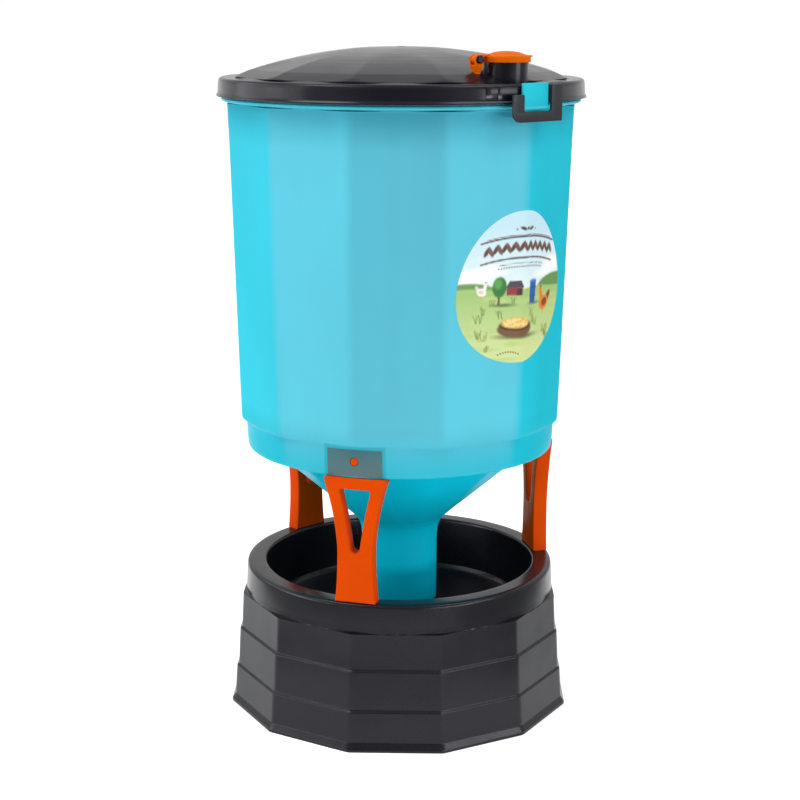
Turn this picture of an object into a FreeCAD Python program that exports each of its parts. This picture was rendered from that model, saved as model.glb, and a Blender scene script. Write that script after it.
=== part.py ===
"""Floor-standing gravity hopper feeder for poultry and small livestock.

A translucent twelve-sided tub with a funnel and an outlet neck stands on three legs over a raised,
stepped, twelve-sided feed tray. A domed lid with a small hinged filler cap closes the tub, and two
sprung clips on the lid hook round lugs on the tub. Millimetres, +Z up, the origin on the floor at the
tray's centre, and the front facet of the tray towards -Y. An azimuth is measured from -Y towards +X.
"""

import FreeCAD
import Part

import math
import os

Vector = FreeCAD.Vector
UP = Vector(0, 0, 1)

# ---- driving dimensions ---------------------------------------------------------------------------
SIDES = 12
CORNER_AZIMUTH = 15.0  # azimuth of one corner of every twelve-sided section
WALL = 3.0
GAP = 0.4  # clearance between parts that move on each other
SLIP = 0.3  # closer clearance, where a part slides in another

# tray: (height, corner radius) of the stepped skirt, from the floor up
TRAY_SKIRT = [
    (0.0, 187.0),
    (2.5, 186.6),
    (9.0, 183.0),
    (41.0, 181.0),
    (42.5, 178.9),
    (83.0, 176.9),
    (84.5, 174.9),
    (123.5, 173.0),
]
TRAY_CORNER = 9.0  # rounding of the skirt's corners
TRAY_TOP = 152.0
RIM_OUTER = 165.3
RIM_INNER = 145.0
COLLAR_FOOT = 166.8  # radius of the round collar where it dies into the skirt
BOWL_FLOOR = 92.0
BOWL_FLOOR_RADIUS = 139.0
SPREADER_RADIUS = 31.0
SPREADER_HEIGHT = 22.0
RIB_COUNT = 12

# legs
LEG_AZIMUTHS = {"front": -15.0, "right": 105.0, "rear": 225.0}
LEG_FACE = 163.0  # distance of a leg's outer face from the axis
LEG_THICK = 16.0
LEG_TOP = 282.0
LEG_SCREW_RADIUS = 155.0
LEG_SCREW_PITCH = 22.0
SCREW_SHANK = 2.0
SCREW_HEAD = 4.0
SCREW_DRIVE = 1.3
TONGUE_HALF = 26.5
TONGUE_TOP = 312.0
TONGUE_BACK = 151.0
BUTTON_HEIGHT = 299.0
BUTTON_RADIUS = 4.0
BUTTON_FLANGE = 5.6
BUTTON_SHOULDER = 156.4  # where the button's flange stops against the tongue

# tub
TUB_BOTTOM = 318.0
TUB_BOTTOM_RADIUS = 171.5
TUB_TOP = 640.0
TUB_TOP_RADIUS = 181.0
TUB_CORNER = 18.0
SKIRT_RADIUS = 164.5
SKIRT_FOOT_RADIUS = 162.6
SKIRT_BOTTOM = LEG_TOP + 0.3
FUNNEL_TOP = 302.0
FUNNEL_BOTTOM = 195.0
FUNNEL_TIP = 12.0  # how far the funnel's lines run on inside the neck
NECK_RADIUS = 40.6
NECK_BOTTOM = 106.0
COLLAR_RADIUS = 186.0
TUB_RIM_TOP = 658.5
TUB_RIM_OUTER = 182.0
TUB_RIM_INNER = 175.0

# lid
LID_LIP_RADIUS = 190.0
LID_WALL_RADIUS = 188.4
LID_BOTTOM = 648.0
LID_TOP = 667.0  # top of the rim's outer edge
LID_FLANGE = 665.0  # the flat ring between the rim's edge and the dome
# the dome, from its foot up: (distance across the facets / 2, height, rounding of the corners)
DOME = [
    (171.8, 662.0, 120.0),
    (171.4, 667.8, 110.0),
    (168.2, 669.6, 60.0),
    (155.0, 673.9, 24.0),
    (142.8, 677.6, 18.0),
    (131.0, 681.0, 20.0),
    (118.0, 684.4, 26.0),
    (101.0, 688.3, 40.0),
    (84.6, 691.7, 58.0),
    (66.0, 694.5, 60.0),
    (47.2, 696.3, 47.0),
]
CROWN = [(46.4, 696.2), (34.0, 697.1), (18.0, 697.8), (0.0, 698.0)]

# filler neck, its cap and the cap's hinge
FILLER_AZIMUTH = 42.5
FILLER_RADIUS = 152.0  # distance of the filler neck's axis from the lid's axis
FILLER_OUTER = 21.6
FILLER_BORE = 19.0
FILLER_TOP = 689.0
CAP_TURN = 30.0  # the cap's tab points this far round from +X, and its hinge the other way
CAP_OUTER = 23.6
CAP_DECK = FILLER_TOP + 1.8  # underside of the cap's flat ring
CAP_SKIRT = 3.3  # how far the cap's skirt reaches down the filler neck
PLUG_RADIUS = 18.5
HINGE_ARM = 33.5  # from the filler neck's axis to the hinge pin
HINGE_HEIGHT = 688.5
KNUCKLE_HALF = 3.2
KNUCKLE_RADIUS = 4.2
EAR_THICK = 2.4
EAR_RADIUS = 4.6
PIN_RADIUS = 1.8
BRACKET_FOOT = (2.6, 2.9)  # half the bracket's foot across and along the pin
BRACKET_SCREW = 1.15

# clips and the lugs they hook round
CLIP_AZIMUTHS = {"right": 42.2, "left": 222.2}
LUG_HALF = 17.0
LUG_FACE = 193.8
LUG_BACK = 190.8
LUG_FOOT = 642.0
LUG_TOP = 667.5
CLIP_FACE = 197.4
CLIP_HALF = 33.0
CLIP_FOOT = 631.0

# label
LABEL_AZIMUTH = 45.0
LABEL_THICK = 0.35
LABEL_HALF_WIDTH = 70.0
LABEL_HALF_HEIGHT = 75.5
LABEL_HEIGHT = 469.5

HALF_STEP = math.pi / SIDES
COS_HALF = math.cos(HALF_STEP)


# ---- helpers --------------------------------------------------------------------------------------
def polar(radius, azimuth, z=0.0):
    """A point at a distance from the axis, at an azimuth in degrees from -Y towards +X."""
    a = math.radians(azimuth)
    return Vector(radius * math.sin(a), -radius * math.cos(a), z)


def turned(shape, azimuth):
    """A copy of a shape built facing -Y, turned to face the azimuth."""
    copy = shape.copy()
    copy.rotate(Vector(0, 0, 0), UP, azimuth)
    return copy


def rounded_polygon(radius, z, corner):
    """A twelve-sided wire of that corner radius from the axis, its corners rounded by arcs."""
    cut = corner * math.tan(HALF_STEP)
    tips = [polar(radius, CORNER_AZIMUTH + 360.0 / SIDES * k, z) for k in range(SIDES)]
    mid_radius = radius - corner * (1 / COS_HALF - 1)
    arcs = []
    for k, tip in enumerate(tips):
        before = tips[k - 1] - tip
        after = tips[(k + 1) % SIDES] - tip
        start = tip + before.normalize() * cut
        end = tip + after.normalize() * cut
        middle = Vector(tip.x * mid_radius / radius, tip.y * mid_radius / radius, z)
        arcs.append((start, middle, end))
    edges = []
    for k, (start, middle, end) in enumerate(arcs):
        edges.append(Part.Arc(start, middle, end).toShape())
        edges.append(Part.LineSegment(end, arcs[(k + 1) % SIDES][0]).toShape())
    return Part.Wire(edges)


def faceted(levels, corner):
    """A solid through rounded twelve-sided sections at (height, corner radius) levels."""
    wires = [rounded_polygon(radius, z, corner) for z, radius in levels]
    return Part.makeLoft(wires, True, True)


def inset(levels, wall):
    """The same levels, moved inwards by a wall."""
    return [(z, radius - wall / COS_HALF) for z, radius in levels]


def spun(points):
    """The solid of a closed (radius, height) outline turned about the axis."""
    outline = Part.makePolygon([Vector(r, 0, z) for r, z in [*points, points[0]]])
    return Part.Face(outline).revolve(Vector(0, 0, 0), UP, 360)


def cylinder(radius, z_low, z_high, centre=None):
    base = centre or Vector(0, 0, 0)
    return Part.makeCylinder(radius, z_high - z_low, Vector(base.x, base.y, z_low), UP)


def block(x_low, x_high, y_low, y_high, z_low, z_high):
    return Part.makeBox(x_high - x_low, y_high - y_low, z_high - z_low, Vector(x_low, y_low, z_low))


def plate(outline, y_low, y_high):
    """A plate from a wire drawn in the XZ plane at y = 0, from y_low to y_high."""
    face = Part.Face(outline)
    face.translate(Vector(0, y_low, 0))
    return face.extrude(Vector(0, y_high - y_low, 0))


def xz(x, z):
    return Vector(x, 0, z)


def line(a, b):
    return Part.LineSegment(xz(*a), xz(*b)).toShape()


def arc(a, b, c):
    return Part.Arc(xz(*a), xz(*b), xz(*c)).toShape()


def softened(shape, radius, keep):
    """The shape with the edges that keep() picks rounded, or as it was if they can't be."""
    edges = [e for e in shape.Edges if keep(e)]
    if not edges:
        return shape
    try:
        rounded = shape.makeFillet(radius, edges)
    except Part.OCCError:
        return shape
    return rounded if rounded.isValid() and rounded.Volume > 0 else shape


# ---- tray -----------------------------------------------------------------------------------------
def tray_base():
    """The stepped skirt, the round collar and the bowl, all one moulding, open underneath."""
    ledge_rise = 7.0  # the skirt's top slopes up and in under the collar
    skirt_height, skirt_radius = TRAY_SKIRT[-1]
    levels = [*TRAY_SKIRT, (skirt_height + ledge_rise, skirt_radius - ledge_rise * 1.1)]
    edge = 3.5  # rounding of the rim's outer edge
    collar = spun(
        [
            (0, 60),
            (COLLAR_FOOT + 0.6, 100),
            (COLLAR_FOOT, skirt_height),
            (RIM_OUTER + 0.2, TRAY_TOP - edge),
            (RIM_OUTER - 0.9, TRAY_TOP - 1.1),
            (RIM_OUTER - edge, TRAY_TOP),
            (0, TRAY_TOP),
        ]
    )
    outside = faceted(levels, TRAY_CORNER).fuse(collar)
    inside = faceted([(-1.0, 184.0), *inset(levels[1:], WALL)], TRAY_CORNER - WALL).fuse(
        spun([(0, 60), (COLLAR_FOOT - WALL, 100), (RIM_OUTER - WALL, TRAY_TOP - WALL), (0, TRAY_TOP - WALL)])
    )
    floor_edge = 7.0  # the bowl's floor curves up into its wall
    bowl_hollow = spun(
        [
            (0, BOWL_FLOOR + SPREADER_HEIGHT),
            (4, BOWL_FLOOR + SPREADER_HEIGHT - 1),
            (SPREADER_RADIUS, BOWL_FLOOR),
            (BOWL_FLOOR_RADIUS - floor_edge, BOWL_FLOOR),
            (BOWL_FLOOR_RADIUS - 2, BOWL_FLOOR + 2),
            (BOWL_FLOOR_RADIUS + 0.6, BOWL_FLOOR + floor_edge),
            (RIM_INNER - 1.0, TRAY_TOP - 1.5),
            (RIM_INNER + 0.6, TRAY_TOP),
            (RIM_INNER + 0.6, TRAY_TOP + 5),
            (0, TRAY_TOP + 5),
        ]
    )
    bowl_body = spun(
        [
            (0, BOWL_FLOOR + SPREADER_HEIGHT - WALL),
            (SPREADER_RADIUS, BOWL_FLOOR - WALL),
            (BOWL_FLOOR_RADIUS - floor_edge + 1, BOWL_FLOOR - WALL),
            (BOWL_FLOOR_RADIUS + WALL, BOWL_FLOOR + floor_edge - 1),
            (RIM_INNER + WALL, TRAY_TOP),
            (0, TRAY_TOP),
        ]
    )
    rib = block(BOWL_FLOOR_RADIUS - 60, 178, -1.1, 1.1, 62, TRAY_TOP - WALL)
    ribs = [turned(rib, 360.0 / RIB_COUNT * k) for k in range(RIB_COUNT)]
    ribs = ribs[0].multiFuse(ribs[1:]).common(inside)
    tray = outside.cut(inside.cut(bowl_body)).fuse(ribs).cut(bowl_hollow)
    holes = [
        cylinder(SCREW_SHANK + 0.2, TRAY_TOP - 2 * WALL, TRAY_TOP + 1, spot)
        for azimuth in LEG_AZIMUTHS.values()
        for spot in screw_spots(azimuth)
    ]
    return tray.cut(holes[0].multiFuse(holes[1:])).removeSplitter()


# ---- legs -----------------------------------------------------------------------------------------
def screw_spots(azimuth):
    """Where a leg's two screws stand."""
    half = LEG_SCREW_PITCH / 2
    spots = [Vector(side * half, -LEG_SCREW_RADIUS, 0) for side in (-1, 1)]
    turn = FreeCAD.Rotation(UP, azimuth)
    return [turn.multVec(s) for s in spots]


def leg_outline():
    """A leg's outline: wide at the shoulder, waisted, and flared again at the foot."""
    shoulder, waist, foot = 31.5, 18.5, 21.0
    waist_height, corner = 210.0, 1.5
    right = [
        line((shoulder - corner, LEG_TOP), (shoulder, LEG_TOP - corner)),
        arc((shoulder, LEG_TOP - corner), (waist + 4.3, 243.0), (waist, waist_height)),
        arc((waist, waist_height), (waist + 0.3, 180.0), (foot, TRAY_TOP)),
    ]
    left = [
        arc((-foot, TRAY_TOP), (-waist - 0.3, 180.0), (-waist, waist_height)),
        arc((-waist, waist_height), (-waist - 4.3, 243.0), (-shoulder, LEG_TOP - corner)),
        line((-shoulder, LEG_TOP - corner), (-shoulder + corner, LEG_TOP)),
    ]
    bottom = line((foot, TRAY_TOP), (-foot, TRAY_TOP))
    top = line((-shoulder + corner, LEG_TOP), (shoulder - corner, LEG_TOP))
    return Part.Wire([*right, bottom, *left, top])


def window_outline():
    """The three-sided opening in a leg, narrow end down."""
    top, half, corner = 270.0, 17.0, 3.0
    nose, nose_height = 5.2, 209.0
    return Part.Wire(
        [
            line((-half + corner, top), (half - corner, top)),
            arc((half - corner, top), (half - 0.6, top - 1.2), (half - 0.9, top - corner - 1)),
            arc((half - 0.9, top - corner - 1), (9.6, 238.0), (nose, nose_height)),
            arc((nose, nose_height), (0, nose_height - 5.2), (-nose, nose_height)),
            arc((-nose, nose_height), (-9.6, 238.0), (-half + 0.9, top - corner - 1)),
            arc((-half + 0.9, top - corner - 1), (-half + 0.6, top - 1.2), (-half + corner, top)),
        ]
    )


def leg():
    """One leg facing -Y: a thick plate with a window, and a tongue that enters the tub's pocket."""
    back = LEG_FACE - LEG_THICK
    body = plate(leg_outline(), -LEG_FACE, -back).cut(plate(window_outline(), -LEG_FACE - 1, -back + 1))

    def on_a_face(edge):
        ys = [v.Point.y for v in edge.Vertexes]
        return all(abs(y + LEG_FACE) < 0.01 for y in ys) or all(abs(y + back) < 0.01 for y in ys)

    body = softened(body, 1.4, on_a_face)
    tongue = block(-TONGUE_HALF, TONGUE_HALF, -LEG_FACE, -TONGUE_BACK, LEG_TOP - 4, TONGUE_TOP)
    tongue = tongue.common(cylinder(SKIRT_FOOT_RADIUS - WALL - SLIP, LEG_TOP - 5, TONGUE_TOP + 1))
    front = Vector(0, -LEG_FACE - 1, BUTTON_HEIGHT)
    rear = Vector(0, -BUTTON_SHOULDER, BUTTON_HEIGHT)
    bore = Part.makeCylinder(BUTTON_RADIUS + SLIP, LEG_THICK, front, Vector(0, 1, 0))
    bore = bore.fuse(Part.makeCylinder(BUTTON_FLANGE + GAP, LEG_THICK, rear, Vector(0, 1, 0)))
    seat = block(-TONGUE_HALF, TONGUE_HALF, -LEG_FACE - 2, -TONGUE_BACK, LEG_TOP - 4, LEG_TOP)
    seat = seat.common(body)
    body = body.fuse(tongue).fuse(seat).cut(bore)
    for x in (-LEG_SCREW_PITCH / 2, LEG_SCREW_PITCH / 2):
        body = body.cut(cylinder(SCREW_SHANK, TRAY_TOP - 1, TRAY_TOP + 13, Vector(x, -LEG_SCREW_RADIUS, 0)))
    return body.removeSplitter()


def leg_button():
    """The spring button in a leg's tongue, which stands in the hole in the tub's skirt."""
    inward = Vector(0, 1, 0)
    nose = LEG_FACE + 0.1
    crown = 0.7
    heel = BUTTON_SHOULDER - SLIP
    point = Vector(0, -nose - crown, BUTTON_HEIGHT)
    tip = Part.makeCone(BUTTON_RADIUS - 0.9, BUTTON_RADIUS, crown, point, inward)
    stem = Part.makeCylinder(BUTTON_RADIUS, nose - heel, Vector(0, -nose, BUTTON_HEIGHT), inward)
    flange = Part.makeCylinder(BUTTON_FLANGE, 1.2, Vector(0, -heel, BUTTON_HEIGHT), inward)
    return tip.multiFuse([stem, flange]).removeSplitter()


def leg_screws():
    """Six pan-head screws, up through the tray's rim into the legs' feet."""
    screws = []
    for azimuth in LEG_AZIMUTHS.values():
        for spot in screw_spots(azimuth):
            shank = cylinder(SCREW_SHANK, TRAY_TOP - WALL, TRAY_TOP + 12, spot)
            head = cylinder(SCREW_HEAD, TRAY_TOP - WALL - 2.4, TRAY_TOP - WALL, spot)
            drive = cylinder(SCREW_DRIVE, TRAY_TOP - WALL - 3, TRAY_TOP - WALL - 1.2, spot)
            screws.append(shank.fuse(head).cut(drive))
    return Part.makeCompound(screws)


# ---- tub ------------------------------------------------------------------------------------------
def tub_levels():
    return [(TUB_BOTTOM, TUB_BOTTOM_RADIUS), (TUB_TOP, TUB_TOP_RADIUS)]


def funnel(grow):
    """The faceted funnel as a solid, its surface moved outwards by grow; its tip ends inside the neck."""
    top_radius = SKIRT_RADIUS - 0.6
    slope = (top_radius - NECK_RADIUS) / (FUNNEL_TOP - FUNNEL_BOTTOM)
    tip_radius = NECK_RADIUS - slope * FUNNEL_TIP + grow
    top = rounded_polygon(top_radius + grow, FUNNEL_TOP, 14.0 + grow)
    tip = rounded_polygon(tip_radius, FUNNEL_BOTTOM - FUNNEL_TIP, tip_radius * 0.6)
    return Part.makeLoft([top, tip], True, True)


def neck_flare(grow):
    """The curved ring that blends the neck into the funnel."""
    foot, top = FUNNEL_BOTTOM - 17.0, FUNNEL_BOTTOM + 9.0
    outline = [
        (0, foot - 2),
        (NECK_RADIUS + grow, foot - 2),
        (NECK_RADIUS + grow, foot),
        (NECK_RADIUS + 1.0 + grow, foot + 9),
        (NECK_RADIUS + 3.4 + grow, foot + 17),
        (NECK_RADIUS + 9.0 + grow, top),
        (0, top),
    ]
    return spun(outline)


def pocket(grow, foot):
    """A leg's pocket behind the skirt, or the housing round it when grown, down to a foot height."""
    half = TONGUE_HALF + SLIP + grow
    roof = TONGUE_TOP + SLIP + grow
    return block(-half, half, -SKIRT_RADIUS + 1, -TONGUE_BACK + SLIP + grow, foot, roof)


def lug():
    """One lug: a tongue that stands up outside the lid's rim, on a web from the tub's collar."""
    tab = block(-LUG_HALF, LUG_HALF, -LUG_FACE, -LUG_BACK, LUG_FOOT, LUG_TOP)
    web = block(-LUG_HALF, LUG_HALF, -LUG_BACK, -TUB_RIM_OUTER, LUG_FOOT, LUG_FOOT + 4.6)
    tab = softened(tab.fuse(web).removeSplitter(), 0.9, lambda e: abs(e.CenterOfMass.y + LUG_FACE) < 0.01)
    return tab


def hopper_tub():
    """The tub, its skirt, funnel and neck: one translucent moulding."""
    chamfer_drop = 6.0
    shell = faceted([(TUB_BOTTOM - chamfer_drop, TUB_BOTTOM_RADIUS - 8.4), *tub_levels()], TUB_CORNER)
    skirt = spun(
        [
            (0, FUNNEL_TOP),
            (SKIRT_FOOT_RADIUS - WALL, FUNNEL_TOP),
            (SKIRT_FOOT_RADIUS - WALL, SKIRT_BOTTOM),
            (SKIRT_FOOT_RADIUS - 1.2, SKIRT_BOTTOM),
            (SKIRT_FOOT_RADIUS, SKIRT_BOTTOM + 1.6),
            (SKIRT_RADIUS, TUB_BOTTOM - 2),
            (SKIRT_RADIUS, TUB_BOTTOM + 2),
            (0, TUB_BOTTOM + 2),
        ]
    )
    collar = spun(
        [
            (TUB_RIM_INNER - 2.6, TUB_TOP - 7),
            (TUB_RIM_INNER + 2.0, TUB_TOP - 5),
            (TUB_TOP_RADIUS - 0.6, TUB_TOP + 0.2),
            (COLLAR_RADIUS - 1.6, TUB_TOP + 1.6),
            (COLLAR_RADIUS, TUB_TOP + 4.2),
            (COLLAR_RADIUS, TUB_TOP + 7.2),
            (TUB_RIM_OUTER, TUB_TOP + 7.2),
            (TUB_RIM_OUTER, TUB_RIM_TOP - 1),
            (TUB_RIM_OUTER - 1, TUB_RIM_TOP),
            (TUB_RIM_INNER, TUB_RIM_TOP),
            (TUB_RIM_INNER, TUB_TOP + 2),
            (TUB_RIM_INNER - 2.6, TUB_TOP),
        ]
    )
    neck = cylinder(NECK_RADIUS, NECK_BOTTOM, FUNNEL_BOTTOM + 2)
    housing_wall = 2.4
    housing = pocket(housing_wall, SKIRT_BOTTOM).common(cylinder(SKIRT_RADIUS - 1, SKIRT_BOTTOM, TUB_BOTTOM))
    housings = [turned(housing, azimuth) for azimuth in LEG_AZIMUTHS.values()]
    lugs = [turned(lug(), a) for a in CLIP_AZIMUTHS.values()]

    hollow_levels = inset([(TUB_BOTTOM + 1, TUB_BOTTOM_RADIUS), (TUB_TOP, TUB_TOP_RADIUS)], WALL)
    hollow_top = faceted(hollow_levels, TUB_CORNER - WALL)
    waist = cylinder(SKIRT_RADIUS - WALL, FUNNEL_TOP + 3, TUB_BOTTOM + 1)
    mouth = cylinder(TUB_RIM_INNER, TUB_TOP, TUB_RIM_TOP + 1)
    inner_funnel = funnel(-WALL)
    inner_funnel.translate(Vector(0, 0, WALL * 0.45))
    inner_flare = neck_flare(-WALL)
    bore = cylinder(NECK_RADIUS - WALL, NECK_BOTTOM - 1, FUNNEL_BOTTOM + 6)
    link = cylinder(SKIRT_RADIUS - WALL - 2.5, FUNNEL_TOP - 2, FUNNEL_TOP + 4)
    hollow = hollow_top.multiFuse([waist, mouth, inner_funnel, inner_flare, bore, link])

    tub = shell.multiFuse([skirt, funnel(0), neck_flare(0), neck]).cut(hollow)
    tub = tub.multiFuse([*housings, collar, *lugs])
    cavity = pocket(0, SKIRT_BOTTOM - 1)
    cavity = cavity.common(cylinder(SKIRT_FOOT_RADIUS - WALL, SKIRT_BOTTOM - 1, TUB_BOTTOM))
    hole_mouth = Vector(0, -SKIRT_RADIUS - 2, BUTTON_HEIGHT)
    hole = Part.makeCylinder(BUTTON_RADIUS + GAP, 9, hole_mouth, Vector(0, 1, 0))
    for azimuth in LEG_AZIMUTHS.values():
        tub = tub.cut(turned(cavity, azimuth)).cut(turned(hole, azimuth))
    return tub.removeSplitter()


def flow_sleeve():
    """The sleeve in the neck that slides down to close the outlet, with a lip for the fingers."""
    outer = NECK_RADIUS - WALL - SLIP
    return spun(
        [
            (outer - 2, NECK_BOTTOM - 3),
            (NECK_RADIUS - 0.2, NECK_BOTTOM - 3),
            (NECK_RADIUS, NECK_BOTTOM - 2.6),
            (NECK_RADIUS, NECK_BOTTOM - SLIP),
            (outer, NECK_BOTTOM - SLIP),
            (outer, NECK_BOTTOM + 34),
            (outer - 2, NECK_BOTTOM + 34),
        ]
    )


def label():
    """The egg-shaped sticker, bent round the tub's corner."""
    count = 24
    points = []
    for k in range(count):
        t = 2 * math.pi * k / count
        x = LABEL_HALF_WIDTH * math.sin(t) * (1 - 0.1 * math.cos(t))
        points.append(Vector(x, 0, LABEL_HEIGHT + LABEL_HALF_HEIGHT * math.cos(t)))
    curve = Part.BSplineCurve()
    curve.interpolate(points, PeriodicFlag=True)
    prism = turned(plate(Part.Wire([curve.toShape()]), -220, -120), LABEL_AZIMUTH)
    levels = tub_levels()
    thick = [(z, radius + LABEL_THICK / COS_HALF) for z, radius in levels]
    skin = faceted(thick, TUB_CORNER + LABEL_THICK).cut(faceted(levels, TUB_CORNER))
    return skin.common(prism)


# ---- lid ------------------------------------------------------------------------------------------
def dome(drop):
    """The dome as a solid, lowered by drop: twelve facets that fade into a round crown."""
    wires = [rounded_polygon(half / COS_HALF, z - drop, corner) for half, z, corner in DOME]
    crown_foot = DOME[-1][1] - 6
    crown = [(0, crown_foot), (CROWN[0][0], crown_foot), *CROWN]
    return Part.makeLoft(wires, True, True).fuse(spun([(r, z - drop) for r, z in crown]))


def filler_axis():
    return polar(FILLER_RADIUS, FILLER_AZIMUTH)


def lid():
    """The domed lid with its channelled rim and the filler neck."""
    flange_low = LID_FLANGE - WALL
    rim = spun(
        [
            (150, flange_low),
            (LID_WALL_RADIUS - WALL, flange_low),
            (LID_WALL_RADIUS - WALL, LID_BOTTOM + 3),
            (LID_LIP_RADIUS - WALL + 0.6, LID_BOTTOM),
            (LID_LIP_RADIUS, LID_BOTTOM),
            (LID_LIP_RADIUS, LID_BOTTOM + 1),
            (LID_WALL_RADIUS, LID_BOTTOM + 3.4),
            (LID_WALL_RADIUS - 0.7, LID_TOP - 4),
            (LID_WALL_RADIUS - 1.9, LID_TOP - 1.3),
            (LID_WALL_RADIUS - 4.0, LID_TOP),
            (LID_WALL_RADIUS - 6.6, LID_FLANGE),
            (150, LID_FLANGE),
        ]
    )
    locator = spun(
        [
            (TUB_RIM_INNER - 3.4, LID_FLANGE - 1.5),
            (TUB_RIM_INNER - 3.4, TUB_RIM_TOP - 4),
            (TUB_RIM_INNER - 1.4, TUB_RIM_TOP - 4),
            (TUB_RIM_INNER - 0.8, LID_FLANGE - 1.5),
        ]
    )
    shell = dome(0).fuse(rim)
    hollow = dome(WALL).fuse(cylinder(TUB_RIM_INNER - 9, LID_FLANGE - 9, LID_FLANGE))
    hollow = hollow.common(cylinder(TUB_RIM_INNER - 9, LID_FLANGE - 9, CROWN[-1][1]))
    centre = filler_axis()
    neck = cylinder(FILLER_OUTER, LID_FLANGE - WALL, FILLER_TOP, centre)
    bore = cylinder(FILLER_BORE, LID_TOP - 10, FILLER_TOP + 1, centre)
    body = shell.cut(hollow).multiFuse([locator, neck]).cut(bore)
    screw_hole = cylinder(BRACKET_SCREW + GAP, LID_TOP - 5, HINGE_HEIGHT - 3, hinge_spot())
    return body.cut(screw_hole).removeSplitter()


def lid_gasket():
    """The soft ring under the lid's flange, over the tub's rim."""
    return spun(
        [
            (TUB_RIM_INNER + 0.4, TUB_RIM_TOP + SLIP),
            (TUB_RIM_OUTER - 0.4, TUB_RIM_TOP + SLIP),
            (TUB_RIM_OUTER + 0.2, LID_FLANGE - WALL),
            (TUB_RIM_INNER - 0.2, LID_FLANGE - WALL),
        ]
    )


def clip():
    """One sprung clip facing -Y: a hook under the lug, hung from an arm at its right-hand end."""
    face, back = CLIP_FACE, CLIP_FACE - 3.2
    inner = LUG_HALF + 1.2
    stub_top, arm_top, bar_top = 657.0, 666.0, LUG_FOOT - 1.0
    nose = 8.0
    outline = Part.Wire(
        [
            line((-CLIP_HALF, stub_top), (-inner, stub_top)),
            line((-inner, stub_top), (-inner, bar_top)),
            line((-inner, bar_top), (inner, bar_top)),
            line((inner, bar_top), (inner, arm_top)),
            line((inner, arm_top), (CLIP_HALF, arm_top)),
            line((CLIP_HALF, arm_top), (CLIP_HALF, CLIP_FOOT)),
            line((CLIP_HALF, CLIP_FOOT), (-CLIP_HALF + nose, CLIP_FOOT)),
            arc(
                (-CLIP_HALF + nose, CLIP_FOOT),
                (-CLIP_HALF + 0.32 * nose, CLIP_FOOT + 0.36 * nose),
                (-CLIP_HALF + 0.6, CLIP_FOOT + 1.3 * nose),
            ),
            line((-CLIP_HALF + 0.6, CLIP_FOOT + 1.3 * nose), (-CLIP_HALF, stub_top)),
        ]
    )
    hook = plate(outline, -face, -back)
    root = block(inner, CLIP_HALF, -back, -170, LID_BOTTOM + 1, arm_top)
    root = root.cut(cylinder(LID_LIP_RADIUS + GAP, 600, 700))
    hook = hook.fuse(root).removeSplitter()
    return softened(hook, 0.8, lambda e: abs(e.CenterOfMass.y + face) < 0.01)


# ---- filler cap -----------------------------------------------------------------------------------
def on_cap(shape):
    """Places a cap part, built with the filler neck on Z and the hinge towards -X, on the lid."""
    copy = shape.copy()
    copy.rotate(Vector(0, 0, 0), UP, CAP_TURN)
    copy.translate(filler_axis())
    return copy


def hinge_cylinder(radius, y_low, y_high):
    """A cylinder on the hinge pin's axis, in the cap's own frame."""
    return Part.makeCylinder(radius, y_high - y_low, Vector(-HINGE_ARM, y_low, HINGE_HEIGHT), Vector(0, 1, 0))


def hinge_spot():
    """The spot under the middle of the hinge pin, where the bracket stands."""
    turn = FreeCAD.Rotation(UP, CAP_TURN)
    return filler_axis() + turn.multVec(Vector(-HINGE_ARM, 0, 0))


def filler_cap():
    """The domed cap, its plug, finger tab and hinge arm."""
    deck = CAP_DECK
    shell = spun(
        [
            (0, deck + 3.4),
            (10, deck + 2.5),
            (16.2, deck + 1.0),
            (16.4, deck - 5.2),
            (17.0, deck - 6.4),
            (17.6, deck - 6.4),
            (PLUG_RADIUS, deck),
            (FILLER_OUTER + 0.8, deck),
            (FILLER_OUTER + 0.8, FILLER_TOP - CAP_SKIRT),
            (CAP_OUTER, FILLER_TOP - CAP_SKIRT),
            (CAP_OUTER, deck + 0.6),
            (CAP_OUTER - 0.8, deck + 1.5),
            (18, deck + 3.0),
            (11, deck + 4.6),
            (0, deck + 5.6),
        ]
    )
    arm = block(-HINGE_ARM, -CAP_OUTER + 2.2, -KNUCKLE_HALF, KNUCKLE_HALF, deck + 0.2, deck + 2.6)
    knuckle = hinge_cylinder(KNUCKLE_RADIUS, -KNUCKLE_HALF, KNUCKLE_HALF)
    tab = Part.Face(
        Part.makePolygon(
            [
                Vector(CAP_OUTER - 2, -9, deck - 0.2),
                Vector(CAP_OUTER + 9, -5, deck - 0.2),
                Vector(CAP_OUTER + 11, 0, deck - 0.2),
                Vector(CAP_OUTER + 9, 5, deck - 0.2),
                Vector(CAP_OUTER - 2, 9, deck - 0.2),
                Vector(CAP_OUTER - 2, -9, deck - 0.2),
            ]
        )
    ).extrude(Vector(0, 0, 1.6))
    tab = tab.cut(cylinder(CAP_OUTER - 0.8, deck - 1, deck + 3))
    cap = shell.multiFuse([arm, knuckle, tab]).cut(hinge_cylinder(PIN_RADIUS + 0.05, -10, 10))
    return on_cap(cap.removeSplitter())


def cap_seal():
    """The flat ring in the cap that closes on the filler neck."""
    ring = cylinder(FILLER_OUTER + 0.8, FILLER_TOP + SLIP, CAP_DECK)
    return on_cap(ring.cut(cylinder(PLUG_RADIUS, FILLER_TOP, CAP_DECK + 1)))


def bracket_section(half_across, half_along, z):
    """A level rectangle round the hinge's spot, in the cap's own frame."""
    corners = [(-1, -1), (1, -1), (1, 1), (-1, 1), (-1, -1)]
    return Part.makePolygon([Vector(-HINGE_ARM + half_across * x, half_along * y, z) for x, y in corners])


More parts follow.
